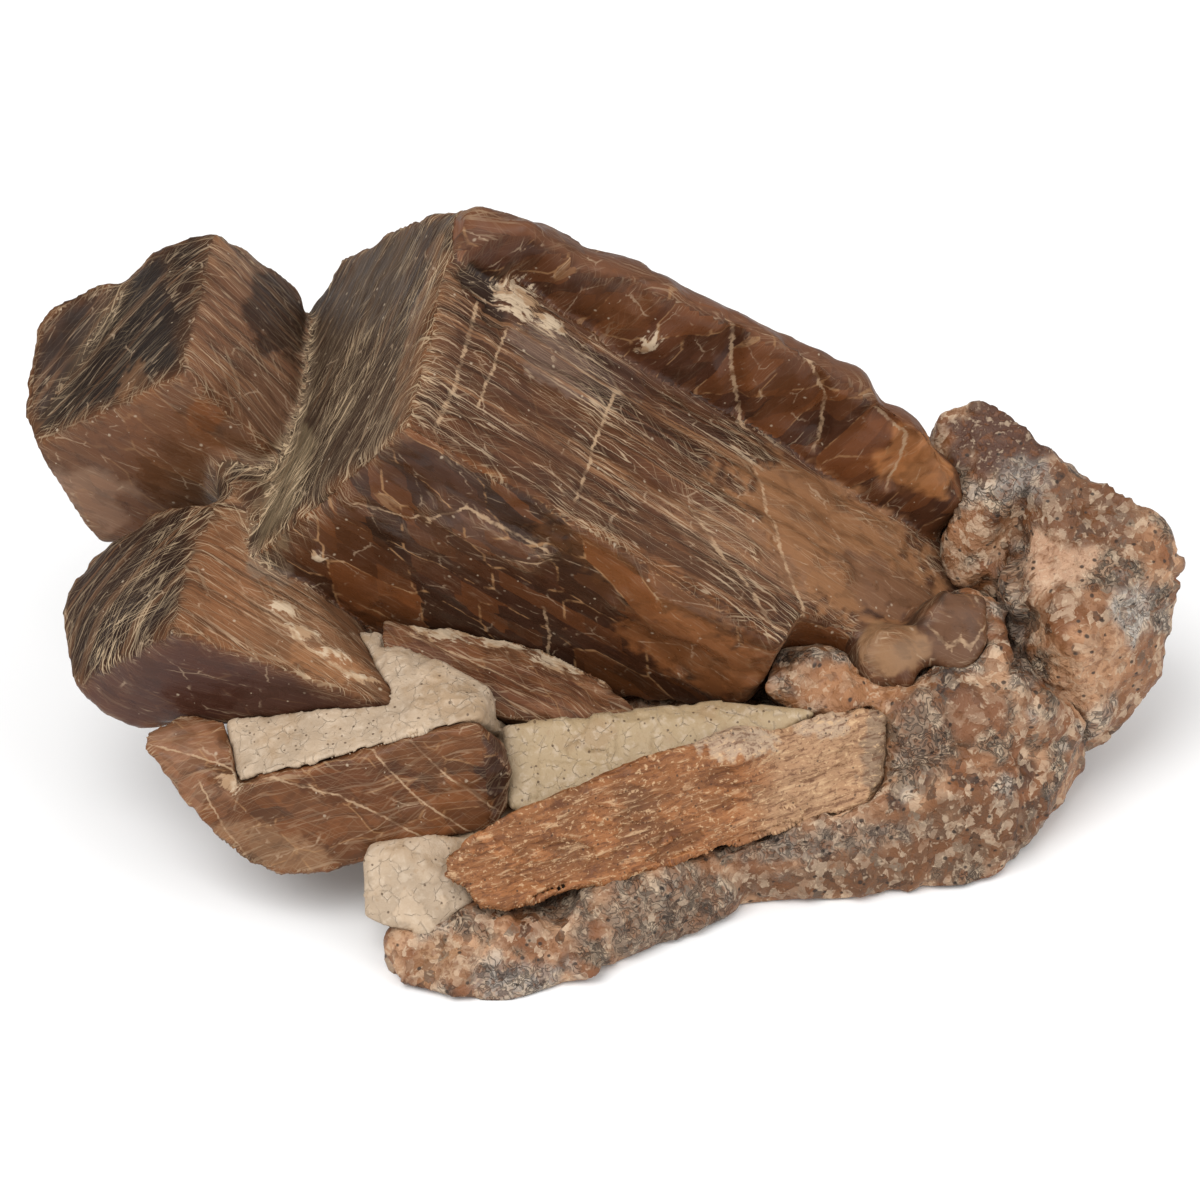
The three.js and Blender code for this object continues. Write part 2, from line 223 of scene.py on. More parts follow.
def keepTone(mesh, tone):
    keepValues(mesh, "tone", np.concatenate([np.clip(tone, 0.002, 1), np.ones((len(tone), 1))], axis=1))


def keepGrain(mesh, points, owner, axes, sway, block):
    # grain and cleavage block coordinates, stored a face corner at a time
    # so that each crystal face keeps one direction right to its edge
    corners = np.empty(len(mesh.loops), np.int32)
    mesh.loops.foreach_get("vertex_index", corners)
    sides = np.empty(len(mesh.polygons), np.int32)
    mesh.polygons.foreach_get("loop_total", sides)
    face = np.repeat(owner[corners[np.cumsum(sides) - sides]], sides)
    grain = np.einsum("nij,nj->ni", axes[face], points[corners])
    grain[:, 1] += sway[corners]
    for name, values in (("grain", grain), ("block", blockPlaces(grain, block))):
        layer = mesh.attributes.new(name, "FLOAT_VECTOR", "CORNER")
        layer.data.foreach_set("vector", values.astype(np.float32).ravel())


def blockPlaces(grain, block):
    # coordinates in leaning cleavage blocks of the given length and height
    length, height = block
    lean = 0.35 * grain[:, 1] / height
    return np.stack([grain[:, 0] / length + lean, grain[:, 1] / height, np.zeros(len(grain))], axis=1)


def boxAxes(run, up):
    # grain axes for the six sides of a lone crystal: along, across and out of each side
    run = unit(run)
    side = unit(np.cross(up, run))
    top = np.cross(run, side)
    around = [(run, side, top), (run, side, -top), (run, top, side), (run, top, -side)]
    return np.array(around + [(side, top, run), (side, top, -run)])


def movePoints(piece, points):
    piece.data.vertices.foreach_set("co", (points * mm).astype(np.float32).ravel())
    piece.data.update()


def outward(piece, points):
    # normals of the skin after it was rounded
    movePoints(piece, points)
    normals = np.empty(len(points) * 3, np.float32)
    piece.data.vertex_normals.foreach_get("vector", normals)
    return normals.reshape(-1, 3).astype(float)


def writeSkin(piece, points):
    # nothing drops below the rest plane or goes far past the solids' own box
    low, high = np.array(cadBox[0]) / mm, np.array(cadBox[1]) / mm
    movePoints(piece, np.clip(points, (*(low[:2] - boxMargin), 0), high + boxMargin))


def settle(piece, nodeName, material):
    piece.data.materials.append(material)
    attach(piece, "root")
    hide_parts(nodeName)
    print(piece.name, "done:", len(piece.data.polygons), "faces")


# small tools for the mineral shaders

def newMaterial(name):
    material = bpy.data.materials.new(name)
    material.use_nodes = True
    tree = material.node_tree
    tree.nodes.clear()
    surface = tree.nodes.new("ShaderNodeBsdfPrincipled")
    output = tree.nodes.new("ShaderNodeOutputMaterial")
    tree.links.new(surface.outputs["BSDF"], output.inputs["Surface"])
    return material, tree, surface


def plug(tree, socket, value):
    if isinstance(value, bpy.types.NodeSocket):
        tree.links.new(value, socket)
    else:
        socket.default_value = value


def stored(tree, name, field="Fac"):
    node = tree.nodes.new("ShaderNodeAttribute")
    node.attribute_name = name
    return node.outputs[field]


def maths(tree, operation, first, second=0.0, third=0.0):
    node = tree.nodes.new("ShaderNodeMath")
    node.operation = operation
    for socket, value in zip(node.inputs, (first, second, third)):
        plug(tree, socket, value)
    return node.outputs[0]


def stretch(tree, vector, factors):
    node = tree.nodes.new("ShaderNodeVectorMath")
    node.operation = "MULTIPLY"
    plug(tree, node.inputs[0], vector)
    node.inputs[1].default_value = factors
    return node.outputs[0]


def swing(tree, vector, degrees):
    # turn the grain within its face
    node = tree.nodes.new("ShaderNodeVectorRotate")
    node.rotation_type = "Z_AXIS"
    plug(tree, node.inputs["Vector"], vector)
    node.inputs["Angle"].default_value = math.radians(degrees)
    return node.outputs[0]


def noiseMap(tree, vector, detail=4.0, roughness=0.55, distortion=0.0, flat=False):
    node = tree.nodes.new("ShaderNodeTexNoise")
    node.noise_dimensions = "2D" if flat else "3D"
    plug(tree, node.inputs["Vector"], vector)
    node.inputs["Scale"].default_value = 1.0
    node.inputs["Detail"].default_value = detail
    node.inputs["Roughness"].default_value = roughness
    node.inputs["Distortion"].default_value = distortion
    return node.outputs["Fac"]


def grainMap(tree, vector, feature="F1", output="Distance", flat=False, squared=False):
    node = tree.nodes.new("ShaderNodeTexVoronoi")
    node.voronoi_dimensions = "2D" if flat else "3D"
    node.distance = "CHEBYCHEV" if squared else "EUCLIDEAN"
    node.feature = feature
    plug(tree, node.inputs["Vector"], vector)
    node.inputs["Scale"].default_value = 1.0
    node.inputs["Randomness"].default_value = 0.6 if squared else 1.0
    return node.outputs[output]


def span(tree, value, low, high, toLow=0.0, toHigh=1.0):
    node = tree.nodes.new("ShaderNodeMapRange")
    node.interpolation_type = "SMOOTHSTEP"
    plug(tree, node.inputs["Value"], value)
    node.inputs["From Min"].default_value = low
    node.inputs["From Max"].default_value = high
    node.inputs["To Min"].default_value = toLow
    node.inputs["To Max"].default_value = toHigh
    return node.outputs["Result"]


def blendTint(tree, amount, first, second):
    node = tree.nodes.new("ShaderNodeMix")
    node.data_type = "RGBA"
    node.clamp_factor = True
    plug(tree, node.inputs["Factor"], amount)
    tints = [socket for socket in node.inputs if socket.type == "RGBA"]
    for socket, value in zip(tints, (first, second)):
        plug(tree, socket, value if isinstance(value, bpy.types.NodeSocket) else (*value, 1.0))
    return [socket for socket in node.outputs if socket.type == "RGBA"][0]


def tintBy(tree, colour, tint, *amounts):
    # lays a tint over a colour, as strongly as all the amounts together
    total = amounts[0]
    for amount in amounts[1:]:
        total = maths(tree, "MULTIPLY", total, amount)
    return blendTint(tree, total, colour, tint)


def bentPlace(tree, vector, factors, field, amount):
    # stretched coordinates, bent by a noise field
    node = tree.nodes.new("ShaderNodeVectorMath")
    node.operation = "MULTIPLY_ADD"
    plug(tree, node.inputs[0], vector)
    node.inputs[1].default_value = factors
    plug(tree, node.inputs[2], maths(tree, "MULTIPLY", field, amount))
    return node.outputs[0]


def grainNumbers(tree, vector, flat=False, squared=False):
    # three random numbers for each grain
    node = tree.nodes.new("ShaderNodeSeparateColor")
    plug(tree, node.inputs["Color"], grainMap(tree, vector, "F1", "Color", flat, squared))
    return node.outputs["Red"], node.outputs["Green"], node.outputs["Blue"]


def finishSurface(tree, surface, colour, dull, shine, height, depth):
    plug(tree, surface.inputs["Base Color"], colour)
    plug(tree, surface.inputs["Roughness"], dull)
    plug(tree, surface.inputs["Specular IOR Level"], shine)
    relief = tree.nodes.new("ShaderNodeBump")
    relief.inputs["Strength"].default_value = 1.0
    relief.inputs["Distance"].default_value = depth * mm
    plug(tree, relief.inputs["Height"], height)
    plug(tree, surface.inputs["Normal"], relief.outputs["Normal"])


# grown crystals: main prism with its wall of blocks, and the two prisms at its left end

prismCorner = np.array((-21.18, -11.98, 58.0))  # where the end, front and top faces meet
along = unit((0.81, 0.04, -0.58))  # long axis, down to the right
above = unit(np.cross(along, (0.15, 0.95, 0.28)))
back = np.cross(above, along)
prismAxes = np.array((along, back, above))

# one entry a face: the way it looks, the way its grain runs, its colour, and how streaked,
# fibrous, glossy and parted into cleavage blocks it is
crystalFaces = {
    "prism": [
        {"turn": above, "grain": along, "tone": (86, 55, 38), "streak": 0.95, "fibre": 0.3, "gloss": 0.45,
         "parting": 0.1},
        {"turn": -along, "grain": -0.86 * back - 0.5 * above, "tone": (60, 43, 32), "streak": 0.3,
         "fibre": 1.0, "gloss": 0.25, "parting": 0.0},
        {"turn": -back, "grain": along, "tone": (72, 42, 26), "streak": 0.04, "fibre": 0.0, "gloss": 1.0,
         "parting": 1.0},
        {"turn": back, "grain": along, "tone": (94, 63, 44), "streak": 0.3, "fibre": 0.1, "gloss": 0.5,
         "parting": 0.6},
        {"turn": along, "grain": back, "tone": (112, 76, 52), "streak": 0.2, "fibre": 0.15, "gloss": 0.4,
         "parting": 0.4},
        {"turn": -above, "grain": along, "tone": (90, 62, 46), "streak": 0.4, "fibre": 0.3, "gloss": 0.3,
         "parting": 0.5},
    ],
    "wall": [
        {"turn": -back, "grain": above, "tone": (78, 46, 31), "streak": 0.05, "fibre": 0.0, "gloss": 0.8,
         "parting": 0.7},
        {"turn": above, "grain": along, "tone": (104, 68, 48), "streak": 0.1, "fibre": 0.0, "gloss": 0.6,
         "parting": 0.5},
        {"turn": back, "grain": along, "tone": (96, 63, 44), "streak": 0.2, "fibre": 0.05, "gloss": 0.5,
         "parting": 0.6},
    ],
    "upper": [
        {"turn": (-0.18, -0.98, -0.07), "grain": (0.9, -0.2, -0.4), "tone": (108, 71, 46), "streak": 0.1,
         "fibre": 0.05, "gloss": 0.9, "parting": 0.35},
        {"turn": (0.6, -0.36, 0.7), "grain": (0.67, -0.17, -0.72), "tone": (116, 80, 58), "streak": 0.7,
         "fibre": 0.4, "gloss": 0.5, "parting": 0.1},
        {"turn": (-0.6, -0.28, 0.75), "grain": (-0.75, -0.38, -0.55), "tone": (27, 17, 11), "streak": 0.3,
         "fibre": 0.3, "gloss": 0.5, "parting": 0.0},
        {"turn": (-0.1, -0.25, 0.96), "grain": (-0.6, -0.6, -0.4), "tone": (38, 24, 16), "streak": 0.4,
         "fibre": 0.3, "gloss": 0.4, "parting": 0.0},
        {"turn": (-0.1, 0.95, -0.2), "grain": (0.8, 0.0, -0.6), "tone": (90, 64, 47), "streak": 0.4,
         "fibre": 0.3, "gloss": 0.3, "parting": 0.5},
        {"turn": (-0.6, 0.1, -0.8), "grain": (0.8, 0.2, -0.6), "tone": (98, 72, 54), "streak": 0.4,
         "fibre": 0.3, "gloss": 0.3, "parting": 0.4},
    ],
    "lower": [
        {"turn": (-0.16, -0.97, -0.17), "grain": (0.95, -0.15, -0.2), "tone": (78, 47, 37), "streak": 0.04,
         "fibre": 0.0, "gloss": 1.0, "parting": 0.12},
        {"turn": (0.35, -0.27, 0.9), "grain": (0.86, -0.28, -0.42), "tone": (128, 88, 60), "streak": 0.7,
         "fibre": 0.5, "gloss": 0.4, "parting": 0.0},
        {"turn": (-0.64, -0.2, 0.74), "grain": (-0.6, -0.55, -0.55), "tone": (50, 33, 24), "streak": 0.45,
         "fibre": 0.9, "gloss": 0.3, "parting": 0.0},
        {"turn": (-0.3, 0.3, -0.9), "grain": (0.9, 0.2, -0.2), "tone": (96, 70, 53), "streak": 0.3,
         "fibre": 0.25, "gloss": 0.3, "parting": 0.4},
        {"turn": (-0.2, 0.95, 0.1), "grain": (0.9, 0.0, -0.4), "tone": (92, 68, 52), "streak": 0.3,
         "fibre": 0.3, "gloss": 0.3, "parting": 0.4},
    ],
}

clusterLook = {
    "voxel": 0.53,
    "edgeReach": 12,  # mesh steps over which an edge counts as worn
    "rounding": 4,  # rounds of wear on every edge
    "fold": 38,  # rounds of wear where the fibres bend over the end edge and in the valleys
    "swell": 0.12,  # makes up for what the wear takes off
    "lumpSwell": 0.3,  # the same for the two glassy lumps at the far end
    "lumps": 0.35,  # broad unevenness of the faces
    "ribs": 0.16,  # growth ribs along the grain
    "straw": 0.14,  # fibrous relief
    "ledges": 0.45,  # steps between cleavage blocks
    "chips": 0.9,  # how deep the edges are chipped
    "notches": 1.0,  # depth of the partings in the wall of blocks
    "cracks": 0.25,  # depth of the other partings
    "scallops": 0.9,  # bulges of the blocks along the wall
    "chalkLift": 0.5,  # how far the chalk patches stand out
    "block": (12.0, 5.5),  # length and height of a cleavage block
    "lumpTraits": {"streak": 0.0, "fibre": 0.0, "gloss": 0.8, "parting": 0.3},
    "wearTint": shade(122, 80, 52),
    "valleyTint": shade(134, 112, 90),
    "bandTint": shade(158, 114, 80),
    "hairTint": shade(212, 184, 152),
    "fibreTint": shade(198, 172, 138),
    "seamTint": shade(170, 128, 88),
    "amberTint": shade(142, 84, 44),
    "chalkTint": shade(214, 190, 160),
    "veinTint": shade(196, 164, 130),
    # colour of the painted glints
    "paintedGlintTint": shade(206, 186, 160),
    # dark stone, and painted shade in the gaps between fibres
    "darkStoneAndGapShade": shade(40, 25, 17),
}

# marks on the faces, in the prism's own along, back and above: middle, half sizes, colour, strength, lift
clusterMarks = [
    {"at": (4.8, 23.5, 0.4), "size": (3.0, 2.0, 1.5), "tint": (40, 28, 22), "amount": 0.85, "lift": -0.8},
    {"at": (7.5, 20.5, 0.3), "size": (1.6, 1.6, 1.5), "tint": (44, 32, 26), "amount": 0.8, "lift": -0.7},
    {"at": (17.0, 19.5, 0.3), "size": (7.5, 4.2, 2.0), "tint": (124, 104, 92), "amount": 0.6},
    {"at": (24.0, 21.5, 0.3), "size": (4.0, 3.0, 2.0), "tint": (72, 54, 48), "amount": 0.6},
    {"at": (56.0, 16.0, 0.3), "size": (15.0, 9.0, 3.0), "tint": (156, 110, 74), "amount": 0.85, "plain": 0.8},
    {"at": (63.0, 14.0, 0.3), "size": (8.0, 4.0, 3.0), "tint": (112, 78, 58), "amount": 0.6},
    {"at": (43.0, 8.0, 0.3), "size": (9.0, 4.5, 2.0), "tint": (134, 98, 74), "amount": 0.6},
    {"at": (35.0, 2.0, 0.0), "size": (16.0, 2.4, 2.0), "tint": (124, 82, 54), "amount": 0.6},
    {"at": (34.0, 0.0, -3.0), "size": (14.0, 2.0, 3.4), "tint": (126, 80, 46), "amount": 0.75},
    {"at": (8.0, 0.0, -5.0), "size": (7.0, 2.0, 3.0), "tint": (74, 42, 24), "amount": 0.6},
    {"at": (25.0, 0.0, -18.0), "size": (14.0, 2.0, 6.5), "tint": (68, 42, 31), "amount": 0.7},
    {"at": (46.0, 0.0, -8.0), "size": (10.0, 2.5, 6.0), "tint": (144, 90, 52), "amount": 0.8, "plain": 0.8},
    {"at": (16.5, -1.0, -8.6), "size": (7.6, 1.6, 2.6), "tint": (98, 70, 57), "amount": 0.9},
    {"at": (0.0, 8.0, -27.0), "size": (2.5, 9.0, 5.0), "tint": (138, 120, 92), "amount": 0.5},
    {"at": (0.0, 31.0, -18.0), "size": (2.5, 8.0, 10.0), "tint": (82, 66, 52), "amount": 0.6},
    {"at": (0.5, 14.0, -2.0), "size": (3.0, 15.0, 3.0), "tint": (114, 80, 56), "amount": 0.75},
    {"at": (60.0, 25.5, 9.0), "size": (5.6, 3.0, 5.4), "tint": (190, 127, 78), "amount": 0.85, "plain": 0.4},
    {"at": (62.0, 24.0, 3.5), "size": (4.0, 3.0, 2.2), "tint": (92, 54, 34), "amount": 0.8},
    {"at": (19.0, 26.0, 6.0), "size": (4.0, 2.0, 4.0), "tint": (128, 78, 46), "amount": 0.6},
    {"at": (64.0, 5.2, 2.2), "size": (4.0, 3.6, 3.6), "tint": (156, 118, 84), "amount": 0.9, "plain": 1},
    {"at": (70.6, 10.0, 5.6), "size": (4.6, 4.6, 4.4), "tint": (112, 78, 55), "amount": 0.85},
    {"at": (58.5, 6.0, -4.0), "size": (4.0, 3.0, 4.5), "tint": (62, 33, 18), "amount": 0.95},
    {"at": (1.6, -0.8, -30.6), "size": (3.0, 2.2, 2.0), "tint": (128, 106, 88), "amount": 0.8},
    {"at": (10.0, -11.0, -28.5), "size": (6.0, 2.0, 1.6), "tint": (168, 118, 80), "amount": 0.7},
    {"at": (-10.6, 13.8, -30.1), "size": (2.2, 2.0, 2.2), "tint": (134, 80, 42), "amount": 0.85},
    {"at": (-14.0, 13.5, -50.0), "size": (6.0, 5.0, 5.0), "tint": (164, 128, 102), "amount": 0.6},
    {"at": (-6.0, 31.5, -28.5), "size": (5.0, 7.5, 4.0), "tint": (42, 29, 22), "amount": 0.85, "plain": 0.6},
    {"at": (-20.0, 28.5, -32.5), "size": (5.0, 4.0, 3.0), "tint": (34, 24, 18), "amount": 0.75},
    {"at": (-22.5, 25.0, -40.5), "size": (6.0, 3.0, 2.5), "tint": (36, 26, 20), "amount": 0.75},
    {"at": (-17.0, 16.0, -34.0), "size": (6.0, 3.0, 2.0), "tint": (122, 86, 58), "amount": 0.6},
    {"at": (2.0, 21.0, -31.0), "size": (6.0, 4.0, 4.0), "tint": (146, 126, 98), "amount": 0.5},
]

# chalky white patches, in the same coordinates
clusterChalk = [
    {"at": (9.6, 24.2, 0.6), "size": (3.1, 2.7, 2.4)},  # lump of feldspar
    {"at": (14.0, 23.6, 0.4), "size": (2.4, 1.2, 1.2)},
    {"at": (4.7, -0.5, -25.0), "size": (1.2, 1.0, 0.8)},
    {"at": (24.8, 25.4, 4.5), "size": (0.9, 1.2, 2.2)},
    {"at": (4.4, -5.6, -30.4), "size": (2.4, 1.0, 1.0)},  # white streaks on the lower left prism
    {"at": (7.0, -8.0, -29.6), "size": (3.6, 0.9, 0.9)},
    {"at": (11.0, -9.4, -28.5), "size": (3.4, 0.7, 0.8)},
    {"at": (14.5, -11.4, -27.5), "size": (3.4, 0.6, 0.8)},
]

# thin pale veins and partings, as points in the prism's own along, back and above
clusterVeins = [
    {"path": [(4.9, 19.6, 0.4), (4.9, 16.9, 0.3), (4.6, 10.8, 0.2), (4.5, 7.2, 0.1), (3.8, 3.2, 0.1)],
     "width": 0.55},
    {"path": [(9.0, 18.0, 0.4), (8.4, 13.0, 0.3), (8.0, 9.0, 0.2)], "width": 0.4},
    {"path": [(23.7, 18.1, 0.6), (22.9, 13.0, 0.8), (22.7, 8.7, 0.6), (22.1, 4.0, 0.5)], "width": 0.45},
    {"path": [(37.5, 8.9, 0.6), (43.1, 5.0, 0.5), (48.8, 1.7, 0.0)], "width": 0.6},
    {"path": [(44.1, 18.8, 0.6), (47.9, 12.1, 0.8), (52.3, 6.4, 0.0)], "width": 0.5},
    {"path": [(30.7, 26.9, 12.5), (33.7, 26.0, 7.5), (40.2, 25.4, 0.6)], "width": 0.55},
    {"path": [(40.9, 27.2, 12.7), (45.8, 26.5, 9.1), (48.5, 25.5, 3.8)], "width": 0.5},
    {"path": [(52.0, 25.9, 11.4), (56.1, 25.9, 10.7), (58.4, 24.8, 5.0)], "width": 0.5},
    {"path": [(29.4, 0.0, -16.0), (31.8, 0.0, -18.6), (33.2, 0.0, -21.0)], "width": 0.4},
    {"path": [(8.0, -1.0, -12.6), (14.3, -1.0, -11.4), (19.7, -1.0, -10.9), (23.9, -1.0, -8.0)],
     "width": 0.35},
    {"path": [(4.0, 0.0, -14.5), (9.0, 0.0, -12.8), (12.0, -0.6, -6.0), (22.0, -0.6, -6.0)], "width": 0.4},
    {"path": [(1.0, -6.0, -31.5), (8.0, -9.5, -29.5), (15.0, -12.0, -27.5)], "width": 0.5},
    {"path": [(68.4, 8.2, 4.1), (70.0, 7.4, 4.3), (70.6, 8.6, 5.1), (72.0, 7.9, 5.4), (72.6, 9.6, 6.4)],
     "width": 0.5},
]


def faceMixes(normals, faces):
    # how much each listed face owns each point
    turns = np.array([unit(face["turn"]) for face in faces])
    weight = np.exp(14 * (normals @ turns.T))
    return weight / weight.sum(axis=1, keepdims=True)


def grainAxes(face):
    run = unit(face["grain"])
    turn = unit(face["turn"])
    side = unit(np.cross(turn, run))
    return np.array((unit(np.cross(side, turn)), side, turn))


def besideVeins(points, normals, veins):
    # signed distance across the nearest vein, in its own widths, and 1 near it, 0 away from it
    reach = np.full(len(points), 9.0)
    across = np.full(len(points), 9.0)
    for vein in veins:
        corners = np.array(vein["path"])
        for start, step in zip(corners[:-1], corners[1:] - corners[:-1]):
            part = np.clip((points - start) @ step / (step @ step), 0, 1)
            offset = points - start - part[:, None] * step
            away = np.linalg.norm(offset, axis=1)
            side = np.cross(step, normals)
            side /= np.linalg.norm(side, axis=1, keepdims=True) + 1e-6
            across = np.where(away < reach, (offset * side).sum(axis=1) / vein["width"], across)
            reach = np.minimum(reach, away)
    return across, smoothStep(2.0, 1.0, reach)


def clusterRegions(local, points, calm):
    # 0 main prism, 1 wall of blocks, 2 upper left prism, 3 lower left prism
    ahead, behind, over = local.T
    leftEnd = ahead < -0.8
    highUp = (points[:, 1] - 9.0) + 0.4 * (points[:, 2] - 34) > 0
    inFront = (behind < -1.3) | ((behind < 0.6) & (calm[:, 2] > 0.6) & (over < -20))
    region = np.where((behind > 20) & (over > 0.9), 1, 0)
    region = np.where(leftEnd & highUp, 2, region)
    return np.where((leftEnd & ~highUp) | (inFront & (over < -18)), 3, region)


def calmNormals(points, normals, edges):
    # smoothed and slightly ragged, so that one face goes over into the next along an uneven line
    for _ in range(4):
        normals = neighbourMean(normals, edges)
    normals = normals + 0.16 * np.stack([roughNoise(points / 3, 2, 11 + axis) for axis in range(3)], axis=1)
    return normals / np.linalg.norm(normals, axis=1, keepdims=True)


def faceTraits(calm, region):
    # colour, traits, owning face and grain axes, from the crystal faces around each point
    count = len(calm)
    tone = np.zeros((count, 3))
    value = {name: np.zeros(count) for name in ("streak", "fibre", "gloss", "parting")}
    owner = np.zeros(count, int)
    axes = []
    for number, name in enumerate(("prism", "wall", "upper", "lower")):
        here = region == number
        faces = crystalFaces[name]
        mixes = faceMixes(calm[here], faces)
        tone[here] = mixes @ np.array([shade(*face["tone"]) for face in faces])
        for trait in value:
            value[trait][here] = mixes @ np.array([face[trait] for face in faces])
        owner[here] = len(axes) + mixes.argmax(axis=1)
        axes += [grainAxes(face) for face in faces]
    return tone, value, owner, np.array(axes)


def makeCluster(look):
    piece = evenSkin("crystal_cluster", "grown_crystals", look["voxel"])
    points, normals, edges = readSkin(piece)
    calm = calmNormals(points, normals, edges)
    ridge, groove = ridgesAndGrooves(points, normals, edges, look["edgeReach"])
    local = (points - prismCorner) @ prismAxes.T
    region = clusterRegions(local, points, calm)
    tone, value, owner, axes = faceTraits(calm, region)
    lumps = smoothStep(59, 61, local[:, 0]) * smoothStep(17, 15, local[:, 1])
    for trait, level in look["lumpTraits"].items():
        value[trait] += (level - value[trait]) * lumps

    # the grain sways a little, and its fibres come in bundles and patches
    patchy = np.clip(0.65 + 0.6 * roughNoise(points / 6, 2, 33), 0, 1)
    sway = (0.1 + 0.35 * value["fibre"]) * roughNoise(points / 8, 2, 15)
    grain = np.einsum("nij,nj->ni", axes[owner], points - prismCorner)
    grain[:, 1] += sway
    bundle = smoothStep(-0.3, 0.4, softNoise(grain * (0.05, 0.4, 0), 35))
    value["fibre"] *= patchy * (0.4 + 0.6 * bundle)
    value["streak"] *= 0.4 + 0.6 * patchy

    # cleavage blocks, each a step higher or lower than the next
    places = blockPlaces(grain, look["block"])
    step = grainCells(places, 51, True)[2] - 0.5
    smallStep = grainCells(places * 2.3, 57, True)[2] - 0.5
    blocks = (0.7 * step + 0.4 * smallStep) * value["parting"]
    tone *= (1 + 0.22 * roughNoise(points / 8, 2, 5))[:, None]
    tone *= 1 + softNoise(points / 11, 9)[:, None] * np.array((0.06, -0.03, -0.12))
    lift = look["ledges"] * blocks
    for number, mark in enumerate(clusterMarks):
        amount = blob(local, mark["at"], mark["size"], 0.3, 40 + number)
        paint(tone, shade(*mark["tint"]), mark["amount"] * amount)
        lift += mark.get("lift", 0) * amount
        for trait in ("streak", "fibre", "parting"):
            value[trait] *= 1 - mark.get("plain", 0) * amount
    tone *= (1 + 0.5 * blocks)[:, None]
    chalk = depthInside(local, clusterChalk)
    lift += look["chalkLift"] * smoothStep(0, 0.4, chalk)

    # partings are shallow grooves, and notch the wall's crest between its blocks
    across, near = besideVeins(local, calm @ prismAxes.T, clusterVeins)
    groovedIn = np.where(region == 1, look["notches"], look["cracks"])
    lift -= groovedIn * near * np.exp(-(across / 2) ** 2)
    onWall = smoothStep(0.5, 5, local[:, 2]) * smoothStep(18, 22, local[:, 1])
    lift += look["scallops"] * onWall * roughNoise(local * (0.15, 0.07, 0.07), 2, 38)

    # tan, fibrous wear along the edges and pale straw in the valleys between the left crystals
    ragged = np.clip(0.55 + 0.5 * roughNoise(points / 2.2, 2, 34), 0, 1)
    atCrest = smoothStep(3, 6, local[:, 2]) * (region < 2)
    worn = ridge * ragged * (1 - 0.6 * atCrest)
    paint(tone, look["wearTint"], 0.85 * worn)
    valley = groove * smoothStep(5, -1, local[:, 0])
    paint(tone, look["valleyTint"], 0.6 * valley)
    value["fibre"] = np.clip(value["fibre"] + 0.5 * worn + valley, 0, 1)
    value["gloss"] *= 1 - 0.7 * np.clip(worn + valley, 0, 1)

    # edges are worn round, most of all where the fibres fold over the end edge
    fold = np.exp(-(local[:, 0] ** 2 + local[:, 2] ** 2) / 18) * smoothStep(1, 6, local[:, 1])
    soft = wearDown(points, edges, 0.5, look["rounding"])
    folded = np.clip(fold + 0.06 * atCrest + valley + 0.2 * lumps, 0, 1)
    soft = wearDown(soft, edges, 0.6 * folded, look["fold"])
    normals = outward(piece, soft)

    # broad lumps, ribs along the grain, straw-like fibres, chipped edges
    ribs = softNoise(grain * (0.04, 0.7, 0), 21) + 0.6 * softNoise(grain * (0.07, 1.3, 0), 22)
    straw = softNoise(grain * (0.14, 1.1, 0), 23)
    push = look["lumps"] * roughNoise(points / 9, 2, 24) * (1 - 0.7 * value["gloss"])
    push += lift + look["swell"] + look["lumpSwell"] * lumps
    push += look["ribs"] * ribs * value["streak"] + look["straw"] * straw * value["fibre"]
    chip = np.clip(roughNoise(points / 4.5, 3, 25) + 0.15, 0, 1)
    push -= look["chips"] * ridge * chip
    writeSkin(piece, wearDown(soft + normals * push[:, None], edges, 0.3, 1))

    keepTone(piece.data, tone)
    keepGrain(piece.data, points - prismCorner, owner, axes, sway, look["block"])
    keepAll(piece.data, {"chalk": chalk, "vein": across, "nearVein": near, **value})
    return piece


